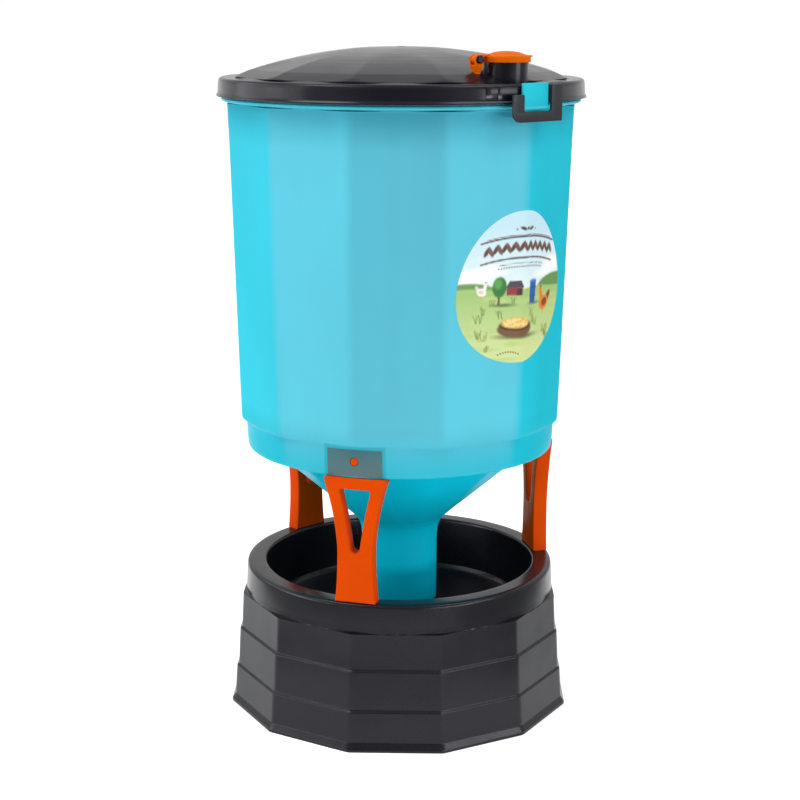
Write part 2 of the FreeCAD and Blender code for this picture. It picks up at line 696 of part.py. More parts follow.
def cap_bracket():
    """The tapered post on the lid that carries the hinge pin between two ears."""
    reach = KNUCKLE_HALF + SLIP + EAR_THICK
    shoulder, waist, foot = HINGE_HEIGHT - 6.5, HINGE_HEIGHT - 12.5, HINGE_HEIGHT - 24
    sections = [
        bracket_section(EAR_RADIUS, reach, HINGE_HEIGHT),
        bracket_section(EAR_RADIUS - 0.2, reach, shoulder),
        bracket_section(*BRACKET_FOOT, waist),
        bracket_section(*BRACKET_FOOT, foot),
    ]
    ears = Part.makeLoft(sections, True, True).fuse(hinge_cylinder(EAR_RADIUS, -reach, reach))
    slot_half = KNUCKLE_HALF + SLIP
    slot_floor = HINGE_HEIGHT - KNUCKLE_RADIUS - 2 * SLIP
    slot = block(-HINGE_ARM - 10, -HINGE_ARM + 10, -slot_half, slot_half, slot_floor, HINGE_HEIGHT + 10)
    ears = on_cap(ears.cut(slot).cut(hinge_cylinder(PIN_RADIUS, -20, 20))).cut(dome(0))
    return ears.cut(cylinder(BRACKET_SCREW, foot, HINGE_HEIGHT - 6, hinge_spot())).removeSplitter()


def dome_underside(spot):
    """The height of the dome's underside at a spot, read from its profile across the facets."""
    bearing = math.atan2(spot.y, spot.x)
    facets = [math.radians(360.0 / SIDES * k) for k in range(SIDES)]
    reach = max(math.hypot(spot.x, spot.y) * math.cos(bearing - facet) for facet in facets)
    for (outer, z_low, _), (inner, z_high, _) in zip(DOME, DOME[1:]):
        if inner <= reach <= outer:
            return z_low + (outer - reach) / (outer - inner) * (z_high - z_low) - WALL
    return DOME[0][1] - WALL


def bracket_screw():
    """The small screw that holds the bracket, its head inside the lid."""
    spot = hinge_spot()
    seat = dome_underside(spot) - 0.9
    shank = cylinder(BRACKET_SCREW, seat, HINGE_HEIGHT - 7, spot)
    head = cylinder(2 * BRACKET_SCREW, seat - 1.6, seat, spot)
    return shank.fuse(head)


def cap_hinge_pin():
    """The dark headed pin through the bracket's ears and the cap's knuckle."""
    reach = KNUCKLE_HALF + SLIP + EAR_THICK
    head, crown = 1.5, 0.8
    head_radius, crown_radius = 3.9, 2.6
    outline = [
        (0, -reach - head - crown),
        (crown_radius, -reach - head - crown),
        (head_radius, -reach - head),
        (head_radius, -reach),
        (PIN_RADIUS, -reach),
        (PIN_RADIUS, reach),
        (head_radius, reach),
        (head_radius, reach + head),
        (crown_radius, reach + head + crown),
        (0, reach + head + crown),
    ]
    pin = spun(outline)
    pin.rotate(Vector(0, 0, 0), Vector(1, 0, 0), -90)
    pin.translate(Vector(-HINGE_ARM, 0, HINGE_HEIGHT))
    return on_cap(pin)


# ---- build ----------------------------------------------------------------------------------------
def build():
    shapes = {
        "tray_base": tray_base(),
        "leg_screws": leg_screws(),
        "hopper_tub": hopper_tub(),
        "flow_sleeve": flow_sleeve(),
        "label": label(),
        "lid": lid(),
        "lid_gasket": lid_gasket(),
        "filler_cap": filler_cap(),
        "cap_seal": cap_seal(),
        "cap_bracket": cap_bracket(),
        "cap_hinge_pin": cap_hinge_pin(),
        "bracket_screw": bracket_screw(),
    }
    one_leg, one_button, one_clip = leg(), leg_button(), clip()
    for name, azimuth in LEG_AZIMUTHS.items():
        shapes["leg_" + name] = turned(one_leg, azimuth)
        shapes["leg_button_" + name] = turned(one_button, azimuth)
    for name, azimuth in CLIP_AZIMUTHS.items():
        shapes["lid_clip_" + name] = turned(one_clip, azimuth)
    return shapes


def main():
    os.makedirs("parts", exist_ok=True)
    for name, shape in build().items():
        shape.exportStep(os.path.join("parts", name + ".step"))
        print(f"{name:20s} solids {len(shape.Solids)} valid {shape.isValid()} cm3 {shape.Volume / 1000:.1f}")


main()
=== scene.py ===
"""Visual model of the floor-standing hopper feeder: detailed pieces, materials, light and camera.

Metres, +Z up, the origin on the floor under the tray's centre, the front towards -Y. Profiles are
written in millimetres and scaled once, when a mesh is made.
"""

import math

import bmesh
import bpy
import numpy as np
from mathutils import Matrix, Vector


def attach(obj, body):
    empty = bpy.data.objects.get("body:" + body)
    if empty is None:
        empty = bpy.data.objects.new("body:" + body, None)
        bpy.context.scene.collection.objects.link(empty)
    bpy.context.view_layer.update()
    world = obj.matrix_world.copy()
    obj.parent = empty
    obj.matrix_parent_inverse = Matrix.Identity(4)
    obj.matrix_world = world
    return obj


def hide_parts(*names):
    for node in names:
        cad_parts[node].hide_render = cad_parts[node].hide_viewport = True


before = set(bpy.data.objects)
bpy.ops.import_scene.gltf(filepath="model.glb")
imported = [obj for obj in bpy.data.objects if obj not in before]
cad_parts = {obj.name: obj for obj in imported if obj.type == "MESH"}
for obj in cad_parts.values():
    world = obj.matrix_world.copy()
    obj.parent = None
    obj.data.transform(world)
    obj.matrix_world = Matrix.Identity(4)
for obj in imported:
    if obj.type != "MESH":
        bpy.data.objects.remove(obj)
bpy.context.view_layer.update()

MM = 0.001
STEP = 30.0  # degrees from one facet to the next
HALF_STEP = math.radians(STEP / 2)
ROUND = 1e6  # a corner rounding that makes a section a circle

# driving dimensions, the same as the solids', in millimetres
LEG_AZIMUTHS = {"front": -15.0, "right": 105.0, "rear": 225.0}
CLIP_AZIMUTHS = {"right": 42.2, "left": 222.2}
TRAY_TOP = 152.0
LEG_TOP = 282.0
LEG_FACE = 163.0
LEG_THICK = 16.0
TONGUE_HALF = 26.5
TONGUE_TOP = 312.0
BUTTON_HEIGHT = 299.0
BUTTON_HOLE = 4.4
FILLER_AZIMUTH = 42.5
FILLER_RADIUS = 152.0
FILLER_OUTER = 21.6
FILLER_BORE = 19.0
FILLER_TOP = 689.0
CAP_TURN = 30.0
HINGE_ARM = 33.5
HINGE_HEIGHT = 688.5
CAP_OUTER = 23.6
CAP_DECK = FILLER_TOP + 1.8
LUG_HALF = 17.0
CLIP_FACE = 197.4


# ---- mesh helpers ----
def new_object(name, mesh):
    obj = bpy.data.objects.new(name, mesh)
    bpy.context.scene.collection.objects.link(obj)
    return obj


def mesh_from(name, vertices, faces, smooth_angle=32.0):
    """A closed mesh in metres from points in millimetres, shaded smooth except over sharp edges."""
    mesh = bpy.data.meshes.new(name)
    mesh.from_pydata([Vector(v) * MM for v in vertices], [], faces)
    return tidied(mesh, smooth_angle)


def tidied(mesh, smooth_angle=32.0):
    work = bmesh.new()
    work.from_mesh(mesh)
    bmesh.ops.remove_doubles(work, verts=work.verts, dist=1e-6)
    bmesh.ops.dissolve_degenerate(work, edges=work.edges, dist=1e-7)
    bmesh.ops.recalc_face_normals(work, faces=work.faces)
    work.to_mesh(mesh)
    work.free()
    mesh.polygons.foreach_set("use_smooth", [True] * len(mesh.polygons))
    mesh.set_sharp_from_angle(angle=math.radians(smooth_angle))
    mesh.update()
    return mesh


def applied(obj):
    """Replaces an object's mesh by what its modifiers make of it."""
    depsgraph = bpy.context.evaluated_depsgraph_get()
    mesh = bpy.data.meshes.new_from_object(obj.evaluated_get(depsgraph))
    obj.modifiers.clear()
    obj.data = mesh
    return obj


def cut_away(obj, cutters):
    """Cuts the cutters' shapes out of an object and removes the cutters."""
    for cutter in cutters:
        modifier = obj.modifiers.new("cut", "BOOLEAN")
        modifier.operation = "DIFFERENCE"
        modifier.solver = "MANIFOLD"
        modifier.object = cutter
    applied(obj)
    for cutter in cutters:
        bpy.data.objects.remove(cutter, do_unlink=True)
    obj.data = tidied(obj.data)
    return obj


def joined(name, objects):
    """One object of several closed shells."""
    work = bmesh.new()
    for obj in objects:
        mesh = obj.data
        mesh.transform(obj.matrix_world)
        work.from_mesh(mesh)
    mesh = bpy.data.meshes.new(name)
    work.to_mesh(mesh)
    work.free()
    for obj in objects:
        bpy.data.objects.remove(obj, do_unlink=True)
    mesh.set_sharp_from_angle(angle=math.radians(32))
    return new_object(name, mesh)


def shifted(obj, x=0.0, y=0.0, z=0.0):
    """Moves a piece's mesh by millimetres."""
    obj.data.transform(Matrix.Translation(Vector((x, y, z)) * MM))
    return obj


def bevelled(obj, width, segments=3):
    """Eases an object's sharp edges by a width in millimetres."""
    modifier = obj.modifiers.new("edge", "BEVEL")
    modifier.width = width * MM
    modifier.segments = segments
    applied(obj)
    obj.data = tidied(obj.data)
    return obj


def turn(obj, azimuth, shift=(0, 0, 0)):
    """Turns a piece built facing -Y to its azimuth, then shifts it (millimetres)."""
    matrix = Matrix.Translation(Vector(shift) * MM) @ Matrix.Rotation(math.radians(azimuth), 4, "Z")
    obj.data.transform(matrix)
    return obj


def facet_angles():
    """Azimuths round a section in radians, closer together at the corners."""
    half = [0, 2.5, 5, 7.5, 9.5, 11, 12, 12.8, 13.4, 13.9, 14.3, 14.6, 14.85, 15]
    one = [-v for v in reversed(half[1:])] + half[:-1]
    return np.radians([STEP * k + v for k in range(12) for v in one])


def circles(*points):
    """Profile points (distance, height) at which the section is a circle."""
    return [(distance, height, ROUND) for distance, height in points]


def facets(rounding, *points):
    """Profile points (distance to the facet, height) at which the section has twelve rounded corners."""
    return [(distance, height, rounding) for distance, height in points]


def section_radius(apothem, rounding, angles):
    """Radius of a twelve-sided section with rounded corners at each azimuth."""
    fold = np.abs((angles + HALF_STEP) % (2 * HALF_STEP) - HALF_STEP)
    if rounding >= apothem:
        return np.full_like(fold, apothem)
    flat = apothem / np.cos(fold)
    centre = (apothem - rounding) / math.cos(HALF_STEP)
    off = HALF_STEP - fold
    arc = centre * np.cos(off) + np.sqrt(np.maximum(rounding**2 - (centre * np.sin(off)) ** 2, 0))
    on_flat = apothem * np.tan(fold) <= (apothem - rounding) * math.tan(HALF_STEP)
    return np.where(on_flat, flat, arc)


def eased(profile, closed, radius, steps=3):
    """Rounds every corner of a profile of (distance, height, rounding) by a small curve."""
    points = [np.array(p, float) for p in profile]
    count = len(points)
    out = []
    for k, point in enumerate(points):
        if not closed and k in (0, count - 1):
            out.append(point)
            continue
        before, after = points[k - 1], points[(k + 1) % count]
        run_in = np.linalg.norm((before - point)[:2])
        run_out = np.linalg.norm((after - point)[:2])
        start = point + (before - point) * min(radius / run_in, 0.42)
        end = point + (after - point) * min(radius / run_out, 0.42)
        for t in np.linspace(0, 1, steps + 1):
            out.append((1 - t) ** 2 * start + 2 * t * (1 - t) * point + t**2 * end)
    return out


def lathe(name, profile, closed=True, radius=1.5, angles=None):
    """A shell from a profile of (distance to the facet, height, rounding), from axis to axis or closed."""
    stations = eased(profile, closed, radius)
    angles = facet_angles() if angles is None else angles
    count = len(angles)
    vertices, rings = [], []
    for apothem, z, rounding in stations:
        if apothem < 1e-6:
            rings.append([len(vertices)] * count)
            vertices.append((0, 0, z))
            continue
        radii = section_radius(apothem, rounding, angles)
        rings.append(list(range(len(vertices), len(vertices) + count)))
        vertices.extend((r * math.sin(a), -r * math.cos(a), z) for r, a in zip(radii, angles))
    faces = []
    pairs = list(zip(rings, rings[1:]))
    if closed:
        pairs.append((rings[-1], rings[0]))
    for low, high in pairs:
        for k in range(count):
            n = (k + 1) % count
            corners = [low[k], low[n], high[n], high[k]]
            face = list(dict.fromkeys(corners))
            if len(face) > 2:
                faces.append(face)
    return new_object(name, mesh_from(name, vertices, faces))


def circle_angles(count):
    return np.radians(np.arange(count) * 360.0 / count)


def plate(name, loops, thick, bevel, steps=3):
    """A plate with eased edges from closed loops of (x, z), the first outside; it is centred on y = 0."""
    curve = bpy.data.curves.new(name, "CURVE")
    curve.dimensions = "2D"
    curve.fill_mode = "BOTH"
    curve.extrude = (thick / 2 - bevel) * MM
    curve.bevel_depth = bevel * MM
    curve.bevel_resolution = steps
    curve.offset = -bevel * MM
    for loop in loops:
        spline = curve.splines.new("POLY")
        spline.points.add(len(loop) - 1)
        for point, (x, z) in zip(spline.points, loop):
            point.co = (x * MM, z * MM, 0, 1)
        spline.use_cyclic_u = True
    source = new_object(name, curve)
    depsgraph = bpy.context.evaluated_depsgraph_get()
    mesh = bpy.data.meshes.new_from_object(source.evaluated_get(depsgraph))
    bpy.data.objects.remove(source, do_unlink=True)
    mesh.transform(Matrix.Rotation(math.radians(90), 4, "X"))
    return new_object(name, tidied(mesh))


def bar(name, x, y, z, bevel=0.6):
    """A block with eased edges between (low, high) limits along each axis, in millimetres."""
    corners = [(a, b, c) for c in z for b in y for a in x]
    faces = [(0, 1, 3, 2), (4, 6, 7, 5), (0, 4, 5, 1), (2, 3, 7, 6), (0, 2, 6, 4), (1, 5, 7, 3)]
    return bevelled(new_object(name, mesh_from(name, corners, faces)), bevel)


def rod(name, start, end, radius, crown=0.4, count=40):
    """A round rod between two points, its rims eased."""
    start, end = Vector(start), Vector(end)
    length = (end - start).length
    profile = [(0, 0, ROUND), (radius, 0, ROUND), (radius, length, ROUND), (0, length, ROUND)]
    obj = lathe(name, profile, closed=False, radius=crown, angles=circle_angles(count))
    spin = (end - start).to_track_quat("Z", "Y").to_matrix().to_4x4()
    obj.data.transform(Matrix.Translation(start * MM) @ spin)
    return obj


def curve_points(a, b, c, count=10):
    """Points on the circle through three points of (x, z), from the first to the last."""
    (ax, ay), (bx, by), (cx, cy) = a, b, c
    d = 2 * (ax * (by - cy) + bx * (cy - ay) + cx * (ay - by))
    sa, sb, sc = ax**2 + ay**2, bx**2 + by**2, cx**2 + cy**2
    ux = (sa * (by - cy) + sb * (cy - ay) + sc * (ay - by)) / d
    uy = (sa * (cx - bx) + sb * (ax - cx) + sc * (bx - ax)) / d
    radius = math.hypot(ax - ux, ay - uy)
    first, middle, last = (math.atan2(p[1] - uy, p[0] - ux) for p in (a, b, c))
    sweep = (last - first) % (2 * math.pi)
    if (middle - first) % (2 * math.pi) > sweep:
        sweep -= 2 * math.pi
    turns = [first + sweep * k / count for k in range(count + 1)]
    return [(ux + radius * math.cos(t), uy + radius * math.sin(t)) for t in turns]


def arc_pad(name, low, high, azimuths, z, bevel, count=14):
    """A curved block between two radii, two azimuths and two heights."""
    vertices = []
    for k in range(count + 1):
        a = math.radians(azimuths[0] + (azimuths[1] - azimuths[0]) * k / count)
        for r, h in ((low, z[0]), (high, z[0]), (high, z[1]), (low, z[1])):
            vertices.append((r * math.sin(a), -r * math.cos(a), h))
    faces = [(0, 1, 2, 3), tuple(4 * count + i for i in (3, 2, 1, 0))]
    for k in range(count):
        for i in range(4):
            j = (i + 1) % 4
            faces.append((4 * k + i, 4 * k + j, 4 * k + 4 + j, 4 * k + 4 + i))
    return bevelled(new_object(name, mesh_from(name, vertices, faces)), bevel, 2)


# ---- tray ----
def build_tray():
    """The stepped skirt, the round collar and the bowl, closed underneath like the moulding it is."""
    crisp, soft = 12.0, 16.0
    under = circles((0.0, 111.0), (30.0, 89.0), (133.0, 89.0), (142.6, 97.0))
    under += circles((147.5, 148.5), (162.4, 148.5), (163.6, 127.0))
    under += facets(soft, (163.9, 122.0), (168.0, 40.0))
    under += facets(crisp, (177.4, 0.0))
    foot = facets(crisp, (180.6, 0.0), (180.4, 3.0), (176.9, 9.0), (174.9, 41.0))
    steps = facets(crisp, (172.9, 42.4), (170.9, 83.0), (168.9, 84.4), (167.2, 119.8), (167.1, 122.6))
    collar = circles((166.7, 127.6), (165.5, TRAY_TOP - 3.0), (164.4, TRAY_TOP - 0.8), (161.0, TRAY_TOP))
    wall = circles((146.4, TRAY_TOP), (145.0, TRAY_TOP - 0.7), (144.4, TRAY_TOP - 2.6), (139.6, 99.0))
    bowl = circles((137.0, 94.2), (131.0, 92.0), (31.0, 92.0), (4.0, 113.0), (0.0, 114.0))
    profile = [*under, *foot, *steps, *collar, *wall, *bowl]
    return lathe("tray_moulding", profile, closed=False, radius=0.9)


# ---- tub ----
def tub_profile():
    """Round the tub's section: neck, funnel, round skirt, faceted wall, rim and back down the inside."""
    soft = 20.0
    neck = circles((38.0, 106.0), (40.2, 106.4), (40.6, 110.0), (40.6, 176.0), (41.6, 186.0), (44.0, 194.0))
    funnel = [(50.0, 202.0, 44.0), (60.5, 212.0, 40.0), (84.0, 233.0, 34.0), (111.0, 257.5, 28.0)]
    funnel += [(138.4, 282.0, 24.0), (158.0, 299.5, 60.0)]
    skirt = circles((159.7, 299.0), (159.7, 284.0), (160.2, 282.4), (161.6, 282.4), (162.7, 284.2))
    skirt += circles((163.5, 294.0), (163.7, 299.0), (163.9, 304.0), (164.4, 311.6))
    wall = [(164.9, 313.0, 60.0)]
    wall += facets(soft, (165.7, 316.5), (166.0, 324.0), (167.4, 370.0), (169.3, 440.0))
    wall += facets(soft, (171.4, 520.0), (173.4, 590.0), (174.9, 640.6))
    wall += [(176.4, 642.2, 50.0)]
    rim = circles((182.0, 643.0), (184.0, 643.8), (184.6, 644.8), (184.4, 646.6), (182.0, 647.2))
    rim += circles((182.0, 658.4), (175.1, 658.4), (175.1, 641.0))
    inside = facets(soft, (171.8, 637.0), (163.0, 320.0))
    inside += circles((161.2, 315.0), (161.2, 303.0))
    inside += [(135.4, 282.8, 24.0), (81.0, 233.8, 34.0), (47.0, 203.0, 40.0)]
    inside += circles((41.0, 194.5), (37.6, 176.0), (37.6, 106.6))
    return [*neck, *funnel, *skirt, *wall, *rim, *inside]


def leg_pocket():
    """The walls behind and round a leg's tongue, facing -Y."""
    wall, inner, outer = 2.2, -148.4, -161.0
    half, top = TONGUE_HALF + 2.6, TONGUE_TOP + 2.6
    parts = [bar("pocket_roof", (-half, half), (outer - 0.8, inner), (TONGUE_TOP + 0.5, top))]
    parts.append(bar("pocket_back", (-half, half), (inner - wall, inner), (288.0, top)))
    for side in (-1, 1):
        across = sorted((side * half, side * (half - wall)))
        parts.append(bar("pocket_cheek", across, (outer, inner), (290.0, top)))
    return parts


def clip_lug():
    """The tab that a clip hooks round and the web that joins it to the rim, facing -Y."""
    across, foot = (-LUG_HALF, LUG_HALF), 642.0
    tab = bar("lug_tab", across, (-193.8, -190.8), (foot, 667.5), 0.9)
    web = bar("lug_web", across, (-191.6, -181.0), (foot, 646.8), 0.7)
    return [tab, web]


def build_tub():
    """Tub, skirt, funnel and neck in one closed shell, with the lugs and the legs' pockets."""
    shell = lathe("tub_shell", tub_profile(), radius=1.6)
    holes = []
    for azimuth in LEG_AZIMUTHS.values():
        hole = rod("hole", (0, -170, BUTTON_HEIGHT), (0, -150, BUTTON_HEIGHT), BUTTON_HOLE, crown=0.01)
        holes.append(turn(hole, azimuth))
    shell = cut_away(shell, holes)
    extras = []
    for azimuth in LEG_AZIMUTHS.values():
        extras.extend(turn(part, azimuth) for part in leg_pocket())
    for azimuth in CLIP_AZIMUTHS.values():
        extras.extend(turn(part, azimuth) for part in clip_lug())
    return joined("tub_moulding", [shell, *extras])


# ---- legs ----
def leg_loops():
    """A leg's outline and its window, as loops of (x, z)."""
    shoulder, waist, foot, waist_height = 32.4, 18.5, 21.0, 210.0
    upper = curve_points((shoulder, LEG_TOP - 3), (waist + 4.3, 243.0), (waist, waist_height), 22)
    lower = curve_points((waist, waist_height), (waist + 0.3, 180.0), (foot, TRAY_TOP), 16)
    corner = [(shoulder - 2.4, LEG_TOP), (shoulder - 0.7, LEG_TOP - 0.8)]
    right = [*corner, *upper, *lower[1:-1], (foot, TRAY_TOP)]
    outline = [*right, *[(-x, z) for x, z in reversed(right)]]
    top, half, nose = 270.0, 16.6, 5.2
    side = curve_points((half - 0.6, top - 3.5), (9.8, 238.0), (nose, 209.0), 18)
    tip = curve_points((nose, 209.0), (0, 203.8), (-nose, 209.0), 14)
    corner = curve_points((half - 3.2, top), (half - 0.9, top - 1.0), (half - 0.6, top - 3.5), 5)
    edge = [*corner, *side[1:]]
    window = [*edge, *tip[1:-1], *[(-x, z) for x, z in reversed(edge)]]
    return outline, window


def build_leg(name, azimuth):
    """A leg's body with its window, and the tongue that goes up into the tub's pocket."""
    outline, window = leg_loops()
    body = shifted(plate("leg_body", [outline, window], LEG_THICK, 1.5, 4), y=LEG_THICK / 2 - LEG_FACE)
    half, top, curve = TONGUE_HALF, TONGUE_TOP, 4.0
    right = [(half, 279.0), (half, top - curve), (half - 0.3 * curve, top - 0.3 * curve), (half - curve, top)]
    loop = [*right, *[(-x, z) for x, z in reversed(right)]]
    tongue = shifted(plate("leg_tongue", [loop], 6.4, 0.8), y=-154.4)
    bore = rod("bore", (0, -170, BUTTON_HEIGHT), (0, -140, BUTTON_HEIGHT), 4.3, crown=0.01)
    return turn(joined(name, [body, cut_away(tongue, [bore])]), azimuth)


# ---- lid ----
def filler_shift():
    a = math.radians(FILLER_AZIMUTH)
    return (FILLER_RADIUS * math.sin(a), -FILLER_RADIUS * math.cos(a), 0)


def lid_profile():
    """Rim, flange and faceted dome up to the gate mark on top, and back along the underside."""
    rim = circles((187.8, 648.2), (189.9, 648.2), (189.9, 649.4), (188.5, 651.6), (187.8, 662.6))
    rim += circles((187.0, 665.6), (184.8, 667.0), (182.6, 666.8), (181.0, 666.6), (173.0, 666.6))
    rim += circles((172.4, 666.8))
    dome = [(169.6, 667.6, 110.0), (166.4, 668.9, 50.0), (160.6, 671.4, 10.0), (152.0, 674.9, 8.0)]
    dome += [(142.8, 677.6, 8.0), (132.0, 680.7, 9.0), (120.0, 683.8, 12.0), (106.0, 687.0, 18.0)]
    dome += [(92.0, 689.8, 30.0), (78.0, 692.2, 46.0), (64.0, 694.2, 56.0), (50.0, 695.8, 50.0)]
    dome += [(36.0, 696.9, 36.0)]
    crown = circles((22.0, 697.4), (5.2, 697.6), (4.6, 697.95), (0.0, 697.95))
    wall = 3.0
    under = circles((0.0, 694.6))
    under += [(a, z - wall, c) for a, z, c in reversed(dome[1:])]
    under += circles((166.0, 665.5), (166.0, 662.0), (185.2, 662.0), (185.2, 651.0), (187.8, 648.2))
    return [*rim, *dome, *crown, *under]


def build_lid():
    """The lid: rim, flange, faceted dome with a gate mark on top, and the filler neck."""
    shell = lathe("lid_shell", lid_profile(), closed=False, radius=1.1)
    shift = filler_shift()
    low, high = Vector((shift[0], shift[1], 650.0)), Vector((shift[0], shift[1], 700.0))
    shell = cut_away(shell, [rod("bore", low, high, FILLER_BORE + 0.8, crown=0.01, count=72)])
    wall = circles((FILLER_BORE, 662.4), (FILLER_OUTER - 0.2, 662.4), (FILLER_OUTER, 668.0))
    wall += circles((FILLER_OUTER, FILLER_TOP), (FILLER_BORE, FILLER_TOP))
    neck = turn(lathe("filler_neck", wall, radius=0.6, angles=circle_angles(96)), CAP_TURN, shift)
    pads = []
    for azimuth in CLIP_AZIMUTHS.values():
        near, far = azimuth - 12.6, azimuth - 16.4
        pads.append(arc_pad("rim_pad", 186.0, 188.9, (far, azimuth + 11), (652.0, 664.2), 0.4))
        pads.append(arc_pad("rim_pad", 186.0, 189.4, (near, azimuth + 10.6), (651.4, 664.6), 0.4))
    return joined("lid_moulding", [shell, neck, *pads])


def build_clip(name, azimuth):
    """A hooked frame whose arm runs into the lid's rim."""
    half, inner, stub_top, arm_top, bar_top, foot = 33.0, 18.2, 657.0, 666.0, 641.0, 631.0
    nose = curve_points((-half + 9.5, foot), (-half + 3.0, foot + 2.9), (-half + 0.5, foot + 10.5), 8)
    stub = [(-half, stub_top - 1), (-half + 1, stub_top), (-inner - 0.6, stub_top), (-inner, stub_top - 0.6)]
    corner = [(inner - 2.0, bar_top), (inner - 0.6, bar_top + 0.6), (inner, bar_top + 2.0)]
    bend = [(-x, z) for x, z in reversed(corner)]
    arm = [(inner, arm_top - 0.6), (inner + 0.6, arm_top), (half - 1, arm_top), (half, arm_top - 1)]
    loop = [*stub, *bend, *corner, *arm, (half, foot + 0.8), (half - 0.8, foot), *nose]
    thick, rim_radius, count, overlap = 3.2, 190.4, 3, 0.2
    hook = shifted(plate("clip_hook", [loop], thick, 0.8), y=thick / 2 - CLIP_FACE)
    shoulders = []
    for k in range(count):
        x_low, x_high = (inner + (half - inner) * step / count for step in (k, k + 1))
        across = (x_low, x_high + overlap * (k < count - 1))
        depth = (thick - 1.2 - CLIP_FACE, -math.sqrt(rim_radius**2 - x_low**2))
        shoulders.append(bar("clip_root", across, depth, (649.0, arm_top - 0.2), 0.2))
    return turn(joined(name, [hook, *shoulders]), azimuth)


# ---- filler cap ----
def build_cap():
    """The orange cap: shallow dome, skirt, plug, hinge arm with its knuckle, and the finger tab."""
    deck = CAP_DECK
    inner, skirt_foot = FILLER_OUTER + 0.8, FILLER_TOP - 3.3
    profile = circles((0.0, deck + 3.4), (10.0, deck + 2.5), (16.2, deck + 1.0), (16.4, deck - 5.2))
    profile += circles((17.0, deck - 6.4), (17.6, deck - 6.4), (18.5, deck))
    profile += circles((inner, deck), (inner, skirt_foot), (CAP_OUTER, skirt_foot), (CAP_OUTER, deck + 0.3))
    profile += circles((CAP_OUTER - 0.9, deck + 1.2), (19.0, deck + 2.0), (12.0, deck + 4.4))
    profile += circles((5.0, deck + 5.3), (0.0, deck + 5.5))
    shell = lathe("cap_shell", profile, closed=False, radius=0.8, angles=circle_angles(96))
    arm = bar("cap_arm", (-HINGE_ARM - 0.5, -CAP_OUTER + 3.2), (-3.2, 3.2), (deck + 0.2, deck + 2.5), 0.7)
    pin_line = [(-HINGE_ARM, y, HINGE_HEIGHT) for y in (-3.2, 3.2)]
    knuckle = rod("cap_knuckle", pin_line[0], pin_line[1], 4.2, crown=0.5)
    lip = curve_points((-9.5, 0), (0, 6.0), (9.5, 0), 16)
    loop = [(CAP_OUTER - 1.5 + depth, width) for width, depth in lip]
    tab = plate("cap_tab", [loop], 1.4, 0.4)
    tab.data.transform(Matrix.Rotation(math.radians(-90), 4, "X"))
    shifted(tab, z=deck + 0.5)
    cap = joined("filler_cap_moulding", [shell, arm, knuckle, tab])
    return turn(cap, CAP_TURN, filler_shift())


def tapered_block(name, sections, bevel=0.5):
    """A block through level rectangles of (half x, half y, z), from the lowest up, with eased edges."""
    signs = [(-1, -1), (1, -1), (1, 1), (-1, 1)]
    vertices = [(half_x * x, half_y * y, z) for half_x, half_y, z in sections for x, y in signs]
    last = 4 * (len(sections) - 1)
    faces = [(3, 2, 1, 0), (last, last + 1, last + 2, last + 3)]
    for low in range(0, last, 4):
        for i in range(4):
            j = (i + 1) % 4
            faces.append((low + i, low + j, low + 4 + j, low + 4 + i))
    return bevelled(new_object(name, mesh_from(name, vertices, faces)), bevel)


def build_bracket():
    """The tapered post that carries the cap's hinge pin between two ears."""
    reach, slot, ear = 5.9, 3.5, 4.6
    shoulder, waist, foot = HINGE_HEIGHT - 6.5, HINGE_HEIGHT - 12.5, HINGE_HEIGHT - 16.5
    crown = [(ear * math.cos(t), HINGE_HEIGHT + ear * math.sin(t)) for t in np.linspace(0, math.pi, 17)]
    outline = [*crown, (-ear + 0.2, shoulder - 0.6), (ear - 0.2, shoulder - 0.6)]
    parts = []
    for side in (-1, 1):
        parts.append(shifted(plate("bracket_ear", [outline], reach - slot, 0.5), y=side * (reach + slot) / 2))
    lower = [(3.4, 3.7, foot), (2.6, 2.9, waist)]
    upper = [(ear - 0.3, reach - 0.1, shoulder), (ear - 0.2, reach - 0.1, shoulder + 1.6)]
    parts.append(tapered_block("bracket_foot", [*lower, *upper]))
    return turn(shifted(joined("bracket_post", parts), x=-HINGE_ARM), CAP_TURN, filler_shift())


# ---- label ----
LABEL_AZIMUTH = 45.0
LABEL_HEIGHT = 469.5
LABEL_HALF_WIDTH = 72.6
LABEL_HALF_HEIGHT = 75.5
LABEL_SHIFT = -3.0  # its middle is this far from the tub's corner
LABEL_TILT = 2.4  # degrees, clockwise
LABEL_LIFT = 0.3


def tub_surface(x, z, lift):
    """A point on the tub, x along the wall from the corner that faces -Y, z up, lifted off by lift."""
    share = (z - 318.0) / (640.0 - 318.0)
    apothem = 165.7 + share * (174.8 - 165.7)
    rounding = 20.0
    bend = rounding * HALF_STEP
    straight = max(abs(x) - bend, 0)
    turned = min(abs(x), bend) / rounding
    centre = (apothem - rounding) / math.cos(HALF_STEP)
    side = (rounding + lift) * math.sin(turned) + straight * math.cos(HALF_STEP)
    out = centre + (rounding + lift) * math.cos(turned) - straight * math.sin(HALF_STEP)
    return Vector((math.copysign(side, x), -out, z))


def label_half_width(height):
    """Half the label's width at a height above its middle: an egg with the narrower end up."""
    t = math.acos(max(-1.0, min(1.0, height / LABEL_HALF_HEIGHT)))
    return LABEL_HALF_WIDTH / math.cos(HALF_STEP) * math.sin(t) * (1 - 0.1 * math.cos(t))


